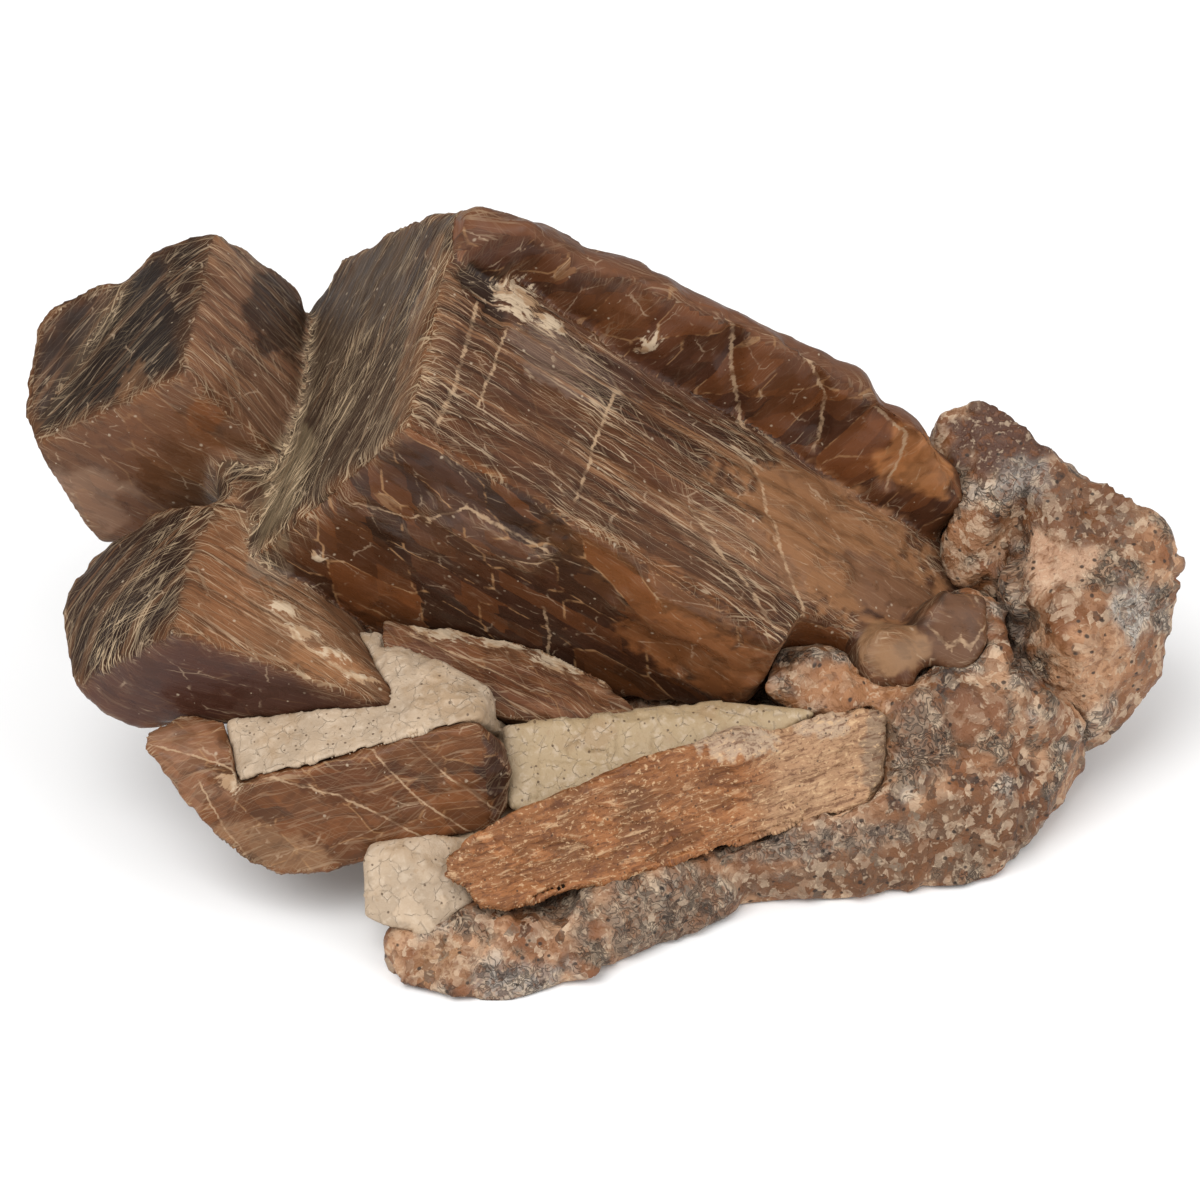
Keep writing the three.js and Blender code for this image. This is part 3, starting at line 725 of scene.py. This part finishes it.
def andalusite(look):
    material, tree, surface = newMaterial("brown_andalusite")
    grain = stored(tree, "grain", "Vector")
    block = stored(tree, "block", "Vector")
    colour = stored(tree, "tone", "Color")
    streak, fibre, gloss, parting = (stored(tree, name) for name in ("streak", "fibre", "gloss", "parting"))

    # growth bands from broad to hair thin, long along the grain
    bands = noiseMap(tree, stretch(tree, grain, (0.016, 0.75, 0)), 3, 0.7, 0, True)
    colour = tintBy(tree, colour, look["darkStoneAndGapShade"], span(tree, bands, 0.48, 0.37, 0, 0.75), streak)
    colour = tintBy(tree, colour, look["bandTint"], span(tree, bands, 0.55, 0.65, 0, 0.75), streak)

    # soft clouds in the stone
    cloud = noiseMap(tree, stretch(tree, grain, (0.3, 0.55, 0)), 3, 0.6, 0.3, True)
    murky = maths(tree, "MULTIPLY_ADD", fibre, 0.4, 0.22)
    colour = tintBy(tree, colour, look["darkStoneAndGapShade"], span(tree, cloud, 0.5, 0.34), murky)

    # cleavage blocks in two sizes, amber or dark, with thin pale partings
    blockSizes = [
        {"place": block, "amber": (0.6, 0.95, 0, 0.55), "deep": (0.6, 0.9, 0, 0.45)},
        {"place": stretch(tree, block, (2.1, 2.6, 0)), "amber": (0.5, 0.95, 0, 0.35),
         "deep": (0.5, 0.95, 0, 0.4)},
    ]
    for size in blockSizes:
        red, green, _ = grainNumbers(tree, size["place"], True, True)
        colour = tintBy(tree, colour, look["amberTint"], span(tree, red, *size["amber"]), parting)
        colour = tintBy(tree, colour, look["darkStoneAndGapShade"], span(tree, green, *size["deep"]), parting)
    border = maths(tree, "SUBTRACT", grainMap(tree, block, "F2", "Distance", True, True),
                   grainMap(tree, block, "F1", "Distance", True, True))
    seam = span(tree, border, 0.045, 0.01, 0, 0.85)
    colour = tintBy(tree, colour, look["seamTint"], seam, parting, span(tree, cloud, 0.42, 0.6))

    # painted shade in the gaps between the fibres, and pale hairs of the fibrous faces, a few hairs on every
    # face
    colour = tintBy(tree, colour, look["darkStoneAndGapShade"], span(tree, bands, 0.48, 0.38, 0, 0.6), fibre)
    hairs = []
    for degrees, across, width in ((5, 1.3, 0.022), (-21, 1.5, 0.02), (38, 1.3, 0.016)):
        field = noiseMap(tree, stretch(tree, swing(tree, grain, degrees), (0.05, across, 0)), 1, 0.6, 0, True)
        away = maths(tree, "ABSOLUTE", maths(tree, "SUBTRACT", field, 0.5))
        hairs.append(span(tree, away, width, 0.3 * width))
    few = maths(tree, "MULTIPLY_ADD", streak, 0.55, span(tree, cloud, 0.5, 0.62, 0, 0.1))
    colour = tintBy(tree, colour, look["hairTint"], hairs[0], few)
    crossing = maths(tree, "MAXIMUM", maths(tree, "MAXIMUM", hairs[0], hairs[1]), hairs[2])
    colour = tintBy(tree, colour, look["fibreTint"], crossing, fibre, 0.95)

    # net of hair-thin healed cracks
    bent = bentPlace(tree, grain, (0.11, 0.26, 0), cloud, 0.25)
    net = span(tree, grainMap(tree, bent, "DISTANCE_TO_EDGE", "Distance", True), 0.022, 0.006)
    colour = tintBy(tree, colour, look["hairTint"], net, span(tree, cloud, 0.47, 0.63, 0, 0.32))

    # chalk patches and thin veins, ragged at their borders
    fine = noiseMap(tree, stretch(tree, grain, (0.6, 1.7, 0)), 3, 0.65, 0, True)
    shift = maths(tree, "SUBTRACT", fine, 0.5)
    ragged = maths(tree, "MULTIPLY_ADD", shift, 2.6, stored(tree, "chalk"))
    stained = tintBy(tree, look["chalkTint"], look["seamTint"], span(tree, cloud, 0.52, 0.4, 0, 0.7))
    colour = tintBy(tree, colour, stained, span(tree, ragged, 0.0, 0.4, 0, 0.85))
    away = maths(tree, "ABSOLUTE", maths(tree, "MULTIPLY_ADD", shift, -1.8, stored(tree, "vein")))
    vein = span(tree, away, 0.6, 0.2, 0, 0.75)
    broken = span(tree, cloud, 0.36, 0.56, 0.2, 1.0)
    colour = tintBy(tree, colour, look["veinTint"], vein, stored(tree, "nearVein"), broken)

    # a few bright specks, painted glints
    dots = stretch(tree, grain, (0.5, 0.5, 0))
    red, green, _ = grainNumbers(tree, dots, True)
    away = maths(tree, "MULTIPLY", grainMap(tree, dots, "F1", "Distance", True),
                 span(tree, green, 0.0, 1.0, 0.5, 1.6))
    speckAndPaintedLight = span(tree, away, 0.07, 0.02, 0, 0.6)
    colour = tintBy(tree, colour, look["paintedGlintTint"], speckAndPaintedLight, span(tree, red, 0.7, 0.9))

    # gloss, and fine relief that is faintest on the glassy faces
    dull = span(tree, gloss, 0.0, 1.0, 0.6, 0.3)
    dull = maths(tree, "ADD", dull, span(tree, cloud, 0.35, 0.7, -0.06, 0.14))
    shine = span(tree, gloss, 0.1, 0.9, 0.05, 0.22)
    uneven = maths(tree, "MULTIPLY_ADD", fine, 0.5, cloud)
    uneven = maths(tree, "MULTIPLY", uneven, span(tree, gloss, 0.3, 1.0, 0.25, 0.07))
    height = maths(tree, "MULTIPLY_ADD", bands, maths(tree, "MAXIMUM", streak, fibre), uneven)
    finishSurface(tree, surface, colour, dull, shine, height, 0.45)
    return material


brownCrystal = andalusite(clusterLook)
settle(makeCluster(clusterLook), "crystal_cluster", brownCrystal)


# smaller crystals held in front: the broken front crystal and the thin blade

smallLooks = {
    "front_crystal": {
        "name": "front_crystal_skin", "slot": "front", "voxel": 0.22, "grain": (0.93, 0.1, 0.25),
        "tone": (116, 73, 44), "streak": 0.1, "fibre": 0.12, "gloss": 0.6, "parting": 0.7, "chips": 0.25,
        "block": (7.0, 4.0), "lumps": 0.28, "ribs": 0.1, "ledges": 0.3, "swell": 0.28, "cracks": 0.15,
        "marks": [
            {"at": (-46.5, -17.0, 16.5), "size": (6.0, 7.0, 5.0), "tint": (146, 102, 74), "amount": 0.9},
            {"at": (-38.0, -23.5, 9.0), "size": (9.0, 3.0, 3.6), "tint": (152, 112, 80), "amount": 0.8},
            {"at": (-11.5, -21.0, 18.0), "size": (2.4, 5.0, 6.0), "tint": (66, 44, 36), "amount": 0.85},
            {"at": (-26.0, -23.0, 18.5), "size": (7.0, 3.0, 2.6), "tint": (86, 50, 31), "amount": 0.7},
            {"at": (-17.0, -24.0, 15.5), "size": (5.0, 3.0, 2.6), "tint": (134, 82, 46), "amount": 0.7},
        ],
        "chalk": [{"at": (-41.0, -22.0, 17.5), "size": (1.6, 1.2, 1.0)}],
        "veins": [
            {"path": [(-36.1, -22.8, 18.7), (-29.2, -23.5, 17.0), (-21.3, -24.9, 13.0)], "width": 0.3},
            {"path": [(-24.5, -22.0, 20.8), (-20.5, -23.6, 16.6), (-15.5, -24.2, 13.0)], "width": 0.25},
            {"path": [(-20.6, -21.6, 22.3), (-16.9, -22.7, 18.7), (-12.6, -23.1, 15.3)], "width": 0.25},
            {"path": [(-48.0, -17.5, 18.6), (-43.5, -19.3, 18.5), (-40.0, -21.0, 18.2)], "width": 0.3},
            {"path": [(-44.0, -21.5, 15.5), (-42.0, -23.0, 12.0), (-40.0, -24.0, 9.6)], "width": 0.3},
        ],
    },
    "blade_crystal": {
        "name": "blade_crystal_skin", "slot": "blade", "voxel": 0.2, "grain": (0.92, -0.25, -0.3),
        "tone": (122, 80, 54), "streak": 0.35, "fibre": 0.15, "gloss": 0.5, "parting": 0.5, "chips": 0.35,
        "block": (8.0, 3.0), "lumps": 0.28, "ribs": 0.1, "ledges": 0.3, "swell": 0.28, "cracks": 0.15,
        "marks": [
            {"at": (-18.0, -6.5, 25.0), "size": (4.0, 3.0, 2.0), "tint": (112, 76, 60), "amount": 0.7},
            {"at": (-8.0, -10.0, 22.0), "size": (12.0, 2.6, 2.0), "tint": (92, 54, 36), "amount": 0.7},
        ],
        "chalk": [
            {"at": (-18.0, -4.4, 25.4), "size": (4.0, 1.6, 1.6)},
            {"at": (-11.4, -4.2, 24.1), "size": (4.0, 1.4, 1.6)},
            {"at": (-4.4, -5.2, 22.0), "size": (5.0, 2.0, 2.0)},
            {"at": (2.5, -7.0, 19.6), "size": (4.0, 1.4, 1.6)},
        ],
        "veins": [{"path": [(-20.4, -6.0, 25.4), (-14.8, -7.9, 24.0), (-9.1, -10.3, 22.3)], "width": 0.3}],
    },
}


def makeSmallCrystal(nodeName, look):
    piece = evenSkin(nodeName, look["name"], look["voxel"], skewGrid)
    points, normals, edges = readSkin(piece)
    ridge = ridgesAndGrooves(points, normals, edges, 14)[0]
    axes = boxAxes(look["grain"], (0, -0.5, 0.8))
    owner = (normals @ axes[:, 2].T).argmax(axis=1)
    sway = 0.5 * roughNoise(points / 5, 2, 66)
    grain = np.einsum("nij,nj->ni", axes[owner], points)
    step = grainCells(blockPlaces(grain, look["block"]), 67, True)[2] - 0.5
    tone = np.tile(shade(*look["tone"]), (len(points), 1))
    tone *= (1 + 0.25 * roughNoise(points / 5, 3, 61) + 0.4 * step)[:, None]
    for number, mark in enumerate(look["marks"]):
        amount = mark["amount"] * blob(points, mark["at"], mark["size"], 0.3, number)
        paint(tone, shade(*mark["tint"]), amount)
    worn = ridge * np.clip(0.5 + 0.6 * roughNoise(points / 2, 2, 68), 0, 1)
    paint(tone, clusterLook["wearTint"], 0.8 * worn)
    soft = wearDown(points, edges, 0.5, 4)
    normals = outward(piece, soft)
    push = look["lumps"] * roughNoise(points / 4, 3, 62)
    push += look["ribs"] * softNoise(grain * (0.08, 1.2, 0), 63)
    push += look["ledges"] * step + look["swell"]
    across, near = besideVeins(points, normals, look["veins"])
    push -= look["cracks"] * near * np.exp(-(across / 2) ** 2)
    push -= look["chips"] * ridge * np.clip(roughNoise(points / 2, 3, 64) + 0.3, 0, 1)
    writeSkin(piece, wearDown(soft + normals * push[:, None], edges, 0.4, 2))
    value = {name: np.full(len(points), look[name]) for name in ("streak", "gloss", "parting")}
    value["fibre"] = np.clip(look["fibre"] + 0.5 * worn, 0, 1)
    value["chalk"] = depthInside(points, look["chalk"])
    keepTone(piece.data, tone)
    keepGrain(piece.data, points, owner, axes, sway, look["block"])
    keepAll(piece.data, {"vein": across, "nearVein": near, **value})
    return piece


for nodeName, look in smallLooks.items():
    settle(makeSmallCrystal(nodeName, look), nodeName, brownCrystal)


# long orange-brown crystal, split like old wood

longLook = {
    "voxel": 0.26,
    "run": (0.92, 0.37, 0.08),
    "tone": shade(150, 96, 55),
    "paleEnd": shade(187, 147, 111),
    "splinter": 0.26,
    "lumps": 0.35,
    "ledges": 0.5,  # steps between split blocks
    "swell": 0.3,  # makes up for what the wear takes off
    "block": (7.0, 2.6),
    # dark stone, and painted shade in the splits
    "darkStoneAndGapShade": shade(98, 54, 27),
    "glint": shade(222, 184, 142),
    "dot": shade(50, 34, 22),
    "shine": 0.3,
    "marks": [
        {"at": (14.0, -16.5, 18.8), "size": (6.5, 2.2, 1.6), "tint": (206, 186, 160), "amount": 0.6},
        {"at": (24.5, -12.5, 18.6), "size": (3.6, 2.0, 1.5), "tint": (200, 180, 156), "amount": 0.5},
        {"at": (31.2, -12.6, 14.8), "size": (2.4, 4.0, 5.0), "tint": (142, 120, 98), "amount": 0.75},
    ],
}


def makeLong(look):
    piece = evenSkin("long_crystal", "split_crystal", look["voxel"], skewGrid)
    points, normals, edges = readSkin(piece)
    axes = boxAxes(look["run"], (0, -0.4, 0.9))
    owner = (normals @ axes[:, 2].T).argmax(axis=1)
    grain = np.einsum("nij,nj->ni", axes[owner], points)
    pick = grainCells(blockPlaces(grain, look["block"]), 76, True)[2]
    tone = np.tile(look["tone"], (len(points), 1))
    tone *= (1 + 0.2 * roughNoise(points / 4, 3, 71) + 0.5 * (pick - 0.5))[:, None]
    paint(tone, look["paleEnd"], 0.85 * smoothStep(15, 22, points[:, 0] + 3 * roughNoise(points / 4, 2, 72)))
    for number, mark in enumerate(look["marks"]):
        amount = blob(points, mark["at"], mark["size"], 0.35, 170 + number)
        paint(tone, shade(*mark["tint"]), mark["amount"] * amount)
    soft = wearDown(points, edges, 0.5, 2)
    normals = outward(piece, soft)
    splinter = softNoise(grain * (0.14, 0.9, 0), 73) + 0.6 * softNoise(grain * (0.3, 1.8, 0), 74)
    push = look["splinter"] * splinter + look["lumps"] * roughNoise(points / 4, 3, 75)
    push += look["ledges"] * (pick - 0.5) + look["swell"]
    writeSkin(piece, wearDown(soft + normals * push[:, None], edges, 0.35, 1))
    keepTone(piece.data, tone)
    keepGrain(piece.data, points, owner, axes, 0.3 * roughNoise(points / 4, 2, 77), look["block"])
    return piece


def splitWoodLike(look):
    material, tree, surface = newMaterial("orange_splintered")
    grain = stored(tree, "grain", "Vector")
    colour = stored(tree, "tone", "Color")
    strands = noiseMap(tree, stretch(tree, grain, (0.25, 1.7, 1.7)), 3, 0.65, 0.5)
    crumbs = noiseMap(tree, stretch(tree, grain, (1.4, 2.2, 2.2)), 3, 0.65, 0.3)
    # painted shade in the splits between strands and crumbs, painted glints on their raised parts
    colour = tintBy(tree, colour, look["darkStoneAndGapShade"], span(tree, strands, 0.48, 0.34, 0, 0.65))
    colour = tintBy(tree, colour, look["glint"], span(tree, strands, 0.54, 0.7, 0, 0.6))
    colour = tintBy(tree, colour, look["darkStoneAndGapShade"], span(tree, crumbs, 0.46, 0.33, 0, 0.6))
    colour = tintBy(tree, colour, look["glint"], span(tree, crumbs, 0.56, 0.68, 0, 0.75))
    dots = grainMap(tree, stretch(tree, grain, (0.8, 0.8, 0.8)))
    colour = tintBy(tree, colour, look["dot"], span(tree, dots, 0.14, 0.07, 0, 0.7))
    dull = span(tree, crumbs, 0.3, 0.7, 0.42, 0.7)
    height = maths(tree, "MULTIPLY_ADD", crumbs, 0.6, strands)
    finishSurface(tree, surface, colour, dull, look["shine"], height, 0.3)
    return material


settle(makeLong(longLook), "long_crystal", splitWoodLike(longLook))


# cream quartz vein

quartzLook = {
    "voxel": 0.25,
    "rounding": 6,  # rounds of wear on every edge
    "ledges": 0.45,  # steps between one grain and the next
    "lumps": 0.14,
    "swell": 0.3,  # makes up for what the wear takes off
    "shine": 0.35,
    "tone": shade(196, 172, 145),
    "yellowFill": shade(184, 159, 123),
    # dark specks, also used for painted shade in the inner corners
    "speckAndPaintedLight": shade(96, 74, 52),
    "crackTint": shade(120, 98, 74),
    "milk": shade(220, 200, 176),
    "stain": shade(168, 136, 100),
}


def makeQuartz(look):
    piece = evenSkin("quartz_vein", "cream_quartz", look["voxel"], skewGrid)
    points, normals, edges = readSkin(piece)
    # inner corners, where the shader paints shade
    groove = ridgesAndGrooves(points, normals, edges, 4)[1]
    pick = grainCells(points / 3.6, 82, True)[2]
    tone = np.tile(look["tone"], (len(points), 1))
    tone *= (1 + 0.1 * roughNoise(points / 3, 3, 81) + 0.24 * (pick - 0.5))[:, None]
    paint(tone, look["yellowFill"], smoothStep(-12, -9, points[:, 0]))
    stain = smoothStep(0.25, 0.7, roughNoise(points / 4, 3, 84))
    paint(tone, look["stain"], 0.5 * stain)
    soft = wearDown(points, edges, 0.5, look["rounding"])
    normals = outward(piece, soft)
    push = look["ledges"] * (pick - 0.5) + look["lumps"] * roughNoise(points / 3, 3, 83) + look["swell"]
    writeSkin(piece, wearDown(soft + normals * push[:, None], edges, 0.4, 2))
    keepTone(piece.data, tone)
    keepAll(piece.data, {"grain": points, "groove": groove})
    return piece


def creamQuartz(look):
    material, tree, surface = newMaterial("cream_quartz")
    grain = stored(tree, "grain", "Vector")
    colour = stored(tree, "tone", "Color")
    cloud = noiseMap(tree, stretch(tree, grain, (0.9, 0.9, 0.9)), 3, 0.65, 0.3)
    colour = tintBy(tree, colour, look["milk"], span(tree, cloud, 0.48, 0.7, 0, 0.5))
    bent = bentPlace(tree, grain, (0.55, 0.55, 0.55), cloud, 0.5)
    crack = span(tree, grainMap(tree, bent, "DISTANCE_TO_EDGE"), 0.035, 0.005)
    crack = maths(tree, "MULTIPLY", crack, span(tree, cloud, 0.42, 0.62))
    colour = tintBy(tree, colour, look["crackTint"], crack, 0.28)
    dots = grainMap(tree, stretch(tree, grain, (0.9, 0.9, 0.9)))
    colour = tintBy(tree, colour, look["speckAndPaintedLight"], span(tree, dots, 0.17, 0.09), 0.85)
    colour = tintBy(tree, colour, look["stain"], span(tree, cloud, 0.42, 0.28, 0, 0.45))
    # painted shade in the inner corners, in the dark speck colour
    colour = tintBy(tree, colour, look["speckAndPaintedLight"], stored(tree, "groove"), 0.35)
    dull = span(tree, cloud, 0.3, 0.7, 0.42, 0.62)
    height = maths(tree, "MULTIPLY_ADD", crack, -0.4, cloud)
    finishSurface(tree, surface, colour, dull, look["shine"], height, 0.2)
    return material


settle(makeQuartz(quartzLook), "quartz_vein", creamQuartz(quartzLook))


# granular host rock

rockLook = {
    "voxel": 0.48,
    "lumps": 0.75,
    "chunks": 0.9,  # steps between one mineral patch and the next
    "grains": 0.3,
    "swell": 0.35,  # makes up for what the wear takes off
    "shine": 0.32,
    # mineral patches: colour and share of the rock
    "minerals": [
        {"tint": (186, 144, 110), "share": 0.24},  # peach feldspar
        {"tint": (158, 112, 78), "share": 0.22},
        {"tint": (132, 112, 92), "share": 0.14},  # grey mica schist
        {"tint": (186, 168, 150), "share": 0.1},
        {"tint": (136, 86, 52), "share": 0.18},  # orange andalusite
        {"tint": (88, 58, 40), "share": 0.12},
    ],
    # black mica, also used for painted shade in the inner corners
    "blackMicaAndShade": shade(42, 29, 20),
    "chalk": shade(224, 198, 168),
    "rust": shade(124, 76, 40),
}

# regions of the rock: middle, half sizes in x, y, z, colour, strength, and how wormy with black mica
rockMarks = [
    {"at": (46.6, 16.6, 38.0), "size": (6.0, 5.5, 5.0),  # dome
     "tint": (84, 52, 36), "amount": 1, "crumb": 0.05},
    {"at": (48.6, 13.0, 34.0), "size": (3.4, 4.0, 2.6),
     "tint": (160, 150, 140), "amount": 0.8, "worm": 0.8},
    {"at": (60.1, 2.7, 23.4), "size": (3.6, 4.0, 3.6),
     "tint": (196, 186, 174), "amount": 0.9, "worm": 0.7},
    {"at": (52.1, 5.8, 28.2), "size": (4.5, 4.0, 4.0),
     "tint": (206, 164, 132), "amount": 0.85, "crumb": 0.4},
    {"at": (56.6, -1.5, 18.0), "size": (6.0, 4.0, 5.5),
     "tint": (196, 148, 110), "amount": 0.85, "crumb": 0.4},
    {"at": (46.8, 8.6, 20.6), "size": (3.0, 5.5, 5.0),
     "tint": (130, 108, 88), "amount": 0.9, "worm": 0.8, "lift": 1.7},
    {"at": (56.0, 10.5, 32.5), "size": (7.0, 5.0, 5.0), "tint": (100, 66, 43), "amount": 0.85},
    {"at": (40.0, -15.0, 6.0), "size": (12.0, 5.0, 4.5), "tint": (98, 66, 42), "amount": 0.8},
    {"at": (47.5, 2.0, 18.0), "size": (2.0, 9.0, 14.0),
     "tint": (136, 120, 106), "amount": 0.75, "worm": 0.9},
    {"at": (35.6, -11.0, 15.0), "size": (4.0, 4.0, 5.5),
     "tint": (132, 112, 94), "amount": 0.85, "worm": 1.0, "lift": 0.7},
    {"at": (36.9, -4.0, 20.0), "size": (5.5, 3.0, 2.5),
     "tint": (58, 47, 41), "amount": 0.85, "worm": 1.0},
    {"at": (41.9, -9.6, 18.0), "size": (3.4, 3.0, 2.8),
     "tint": (134, 88, 58), "amount": 0.85, "crumb": 0.3},
    {"at": (5.0, -28.0, 4.0), "size": (14.0, 6.0, 4.5),
     "tint": (138, 121, 104), "amount": 0.8, "worm": 0.9},
    {"at": (27.0, -20.5, 7.5), "size": (14.0, 4.0, 2.0),
     "tint": (132, 116, 102), "amount": 0.75, "worm": 0.9},
    {"at": (26.0, -20.5, 3.0), "size": (14.0, 4.0, 2.4), "tint": (104, 70, 45), "amount": 0.9},
    {"at": (27.0, -8.5, 20.0), "size": (8.0, 3.0, 3.0),  # tan toe
     "tint": (168, 116, 76), "amount": 0.9, "crumb": 0.3},
    {"at": (-17.0, -36.0, 3.5), "size": (4.0, 3.0, 3.0), "tint": (176, 136, 100), "amount": 0.7},
    {"at": (-9.5, -37.5, 1.5), "size": (5.0, 2.5, 2.5),
     "tint": (160, 150, 140), "amount": 0.8, "worm": 0.9},
]


def makeRock(look):
    piece = evenSkin("host_rock", "granular_rock", look["voxel"])
    points, normals, edges = readSkin(piece)
    ridge, groove = ridgesAndGrooves(points, normals, edges, 4)

    # mineral patches in two sizes, ragged at their borders
    warp = np.stack([roughNoise(points / 3.5, 3, 96 + axis) for axis in range(3)], axis=1)
    pick = grainCells(points / 5.2 + 0.3 * warp, 93)[2]
    near, far, small = grainCells(points / 2.2 + 0.3 * warp, 103)
    mixed = np.where(softNoise(points / 7, 108) > -0.15, small, pick)
    shares = np.cumsum([mineral["share"] for mineral in look["minerals"]])
    kind = np.minimum(np.searchsorted(shares, mixed), len(shares) - 1)
    tone = np.array([shade(*mineral["tint"]) for mineral in look["minerals"]])[kind]
    tone *= (1 + 0.18 * roughNoise(points / 5, 3, 91))[:, None]
    worm = np.isin(kind, (2, 3)).astype(float)
    crumb = np.ones(len(points))
    lift = np.zeros(len(points))
    for number, mark in enumerate(rockMarks):
        amount = mark["amount"] * blob(points, mark["at"], mark["size"], 0.3, 120 + number)
        paint(tone, shade(*mark["tint"]), amount)
        lift += mark.get("lift", 0) * amount
        worm += (mark.get("worm", 0) - worm) * amount
        crumb += (mark.get("crumb", 0.8) - crumb) * amount
    for _ in range(2):
        tone = 0.5 * tone + 0.5 * neighbourMean(tone, edges)

    soft = wearDown(points, edges, 0.5, 2)
    soft = wearDown(soft, edges, 0.5 * spread(np.maximum(groove, 0.6 * ridge), edges, 10), 30)
    normals = outward(piece, soft)
    push = look["lumps"] * roughNoise(points / 6, 2, 94) + look["chunks"] * (pick - 0.5)
    push += 0.6 * look["chunks"] * (small - 0.5) * smoothStep(0, 0.3, far - near)
    push += look["grains"] * roughNoise(points / 1.5, 2, 95) + look["swell"] + lift
    push *= smoothStep(0.05, 0.8, points[:, 2])  # the underside stays flat
    writeSkin(piece, wearDown(soft + normals * push[:, None], edges, 0.4, 1))
    keepTone(piece.data, tone)
    worm = spread(worm, edges, 2)
    # the inner corners are kept for the painted shade
    keepAll(piece.data, {"grain": points, "groove": groove, "worm": worm, "crumb": crumb})
    return piece


def granular(look):
    material, tree, surface = newMaterial("granular_host_rock")
    grain = stored(tree, "grain", "Vector")
    colour = stored(tree, "tone", "Color")
    crumb = stored(tree, "crumb")

    # pale, rusty and black crumbs
    fine = noiseMap(tree, stretch(tree, grain, (1.2, 1.2, 1.2)), 2, 0.65, 0.3)
    bent = bentPlace(tree, grain, (0.95, 0.95, 0.95), fine, 0.9)
    red, green, blue = grainNumbers(tree, bent)
    colour = tintBy(tree, colour, look["chalk"], span(tree, red, 0.5, 0.9, 0, 0.5), crumb)
    colour = tintBy(tree, colour, look["rust"], span(tree, green, 0.5, 0.9, 0, 0.6), crumb)
    colour = tintBy(tree, colour, look["blackMicaAndShade"], span(tree, blue, 0.84, 0.94, 0, 0.6), crumb)
    colour = tintBy(tree, colour, look["rust"], span(tree, fine, 0.48, 0.33, 0, 0.6))
    colour = tintBy(tree, colour, look["chalk"], span(tree, fine, 0.56, 0.7, 0, 0.45))

    # black squiggles in the mica-rich patches, black flakes everywhere, and painted shade in the inner
    # corners
    field = noiseMap(tree, stretch(tree, grain, (0.85, 0.85, 0.85)), 1, 0.6, 1.5)
    squiggle = span(tree, maths(tree, "ABSOLUTE", maths(tree, "SUBTRACT", field, 0.5)), 0.07, 0.015)
    squiggle = maths(tree, "MULTIPLY", squiggle, stored(tree, "worm"))
    colour = tintBy(tree, colour, look["blackMicaAndShade"], squiggle, 0.65)
    flake = grainMap(tree, stretch(tree, grain, (0.62, 0.62, 0.8)))
    colour = tintBy(tree, colour, look["blackMicaAndShade"], span(tree, flake, 0.2, 0.1), 0.85)
    # painted shade in the inner corners, in the black mica colour
    colour = tintBy(tree, colour, look["blackMicaAndShade"], stored(tree, "groove"), 0.3)
    dull = span(tree, fine, 0.3, 0.7, 0.42, 0.7)
    height = maths(tree, "MULTIPLY_ADD", squiggle, -0.35, fine)
    finishSurface(tree, surface, colour, dull, look["shine"], height, 0.45)
    return material


settle(makeRock(rockLook), "host_rock", granular(rockLook))


# floor, light and camera

stageLook = {
    "floorSize": 8.0,
    "floorTint": (0.86, 0.86, 0.86, 1),
    "floorDull": 0.9,
    "skyStrength": 0.75,
    "keyPlace": (-0.45, -0.55, 1.1), "keySize": 1.0, "keyPower": 13,
    "fillPlace": (0.8, -0.5, 0.6), "fillSize": 0.9, "fillPower": 4,
}
cameraLook = {
    "target": (-0.18, -1.88, 28.0),
    "distance": 620.0,
    "raise": 35.0,  # degrees above level
    "focal": 165.26, "sensor": 36.0,
}


def areaLight(name, place, size, power):
    lamp = bpy.data.lights.new(name, "AREA")
    lamp.size = size
    lamp.energy = power
    holder = bpy.data.objects.new(name, lamp)
    holder.location = place
    holder.rotation_euler = (-Vector(place)).to_track_quat("-Z", "Y").to_euler()
    bpy.context.scene.collection.objects.link(holder)


def setStage(look):
    half = look["floorSize"] / 2
    mesh = bpy.data.meshes.new("floor")
    corners = [(-half, -half, 0), (half, -half, 0), (half, half, 0), (-half, half, 0)]
    mesh.from_pydata(corners, [], [(0, 1, 2, 3)])
    floor = bpy.data.objects.new("floor", mesh)
    bpy.context.scene.collection.objects.link(floor)
    paper, _, surface = newMaterial("pale_paper")
    surface.inputs["Base Color"].default_value = look["floorTint"]
    surface.inputs["Roughness"].default_value = look["floorDull"]
    mesh.materials.append(paper)
    world = bpy.data.worlds.new("soft_studio")
    world.use_nodes = True
    sky = world.node_tree.nodes["Background"]
    sky.inputs["Color"].default_value = (1, 1, 1, 1)
    sky.inputs["Strength"].default_value = look["skyStrength"]
    bpy.context.scene.world = world
    bpy.context.scene.view_settings.view_transform = "Standard"
    areaLight("key", look["keyPlace"], look["keySize"], look["keyPower"])
    areaLight("fill", look["fillPlace"], look["fillSize"], look["fillPower"])


def setCamera(look):
    lens = bpy.data.cameras.new("photo_view")
    lens.lens = look["focal"]
    lens.sensor_width = look["sensor"]
    lens.clip_end = 50
    tilt = math.radians(look["raise"])
    target = Vector(look["target"]) * mm
    away = Vector((0, -math.cos(tilt), math.sin(tilt))) * look["distance"] * mm
    camera = bpy.data.objects.new("photo_view", lens)
    camera.location = target + away
    camera.rotation_euler = (math.pi / 2 - tilt, 0, 0)
    bpy.context.scene.collection.objects.link(camera)
    bpy.context.scene.camera = camera


setStage(stageLook)
setCamera(cameraLook)
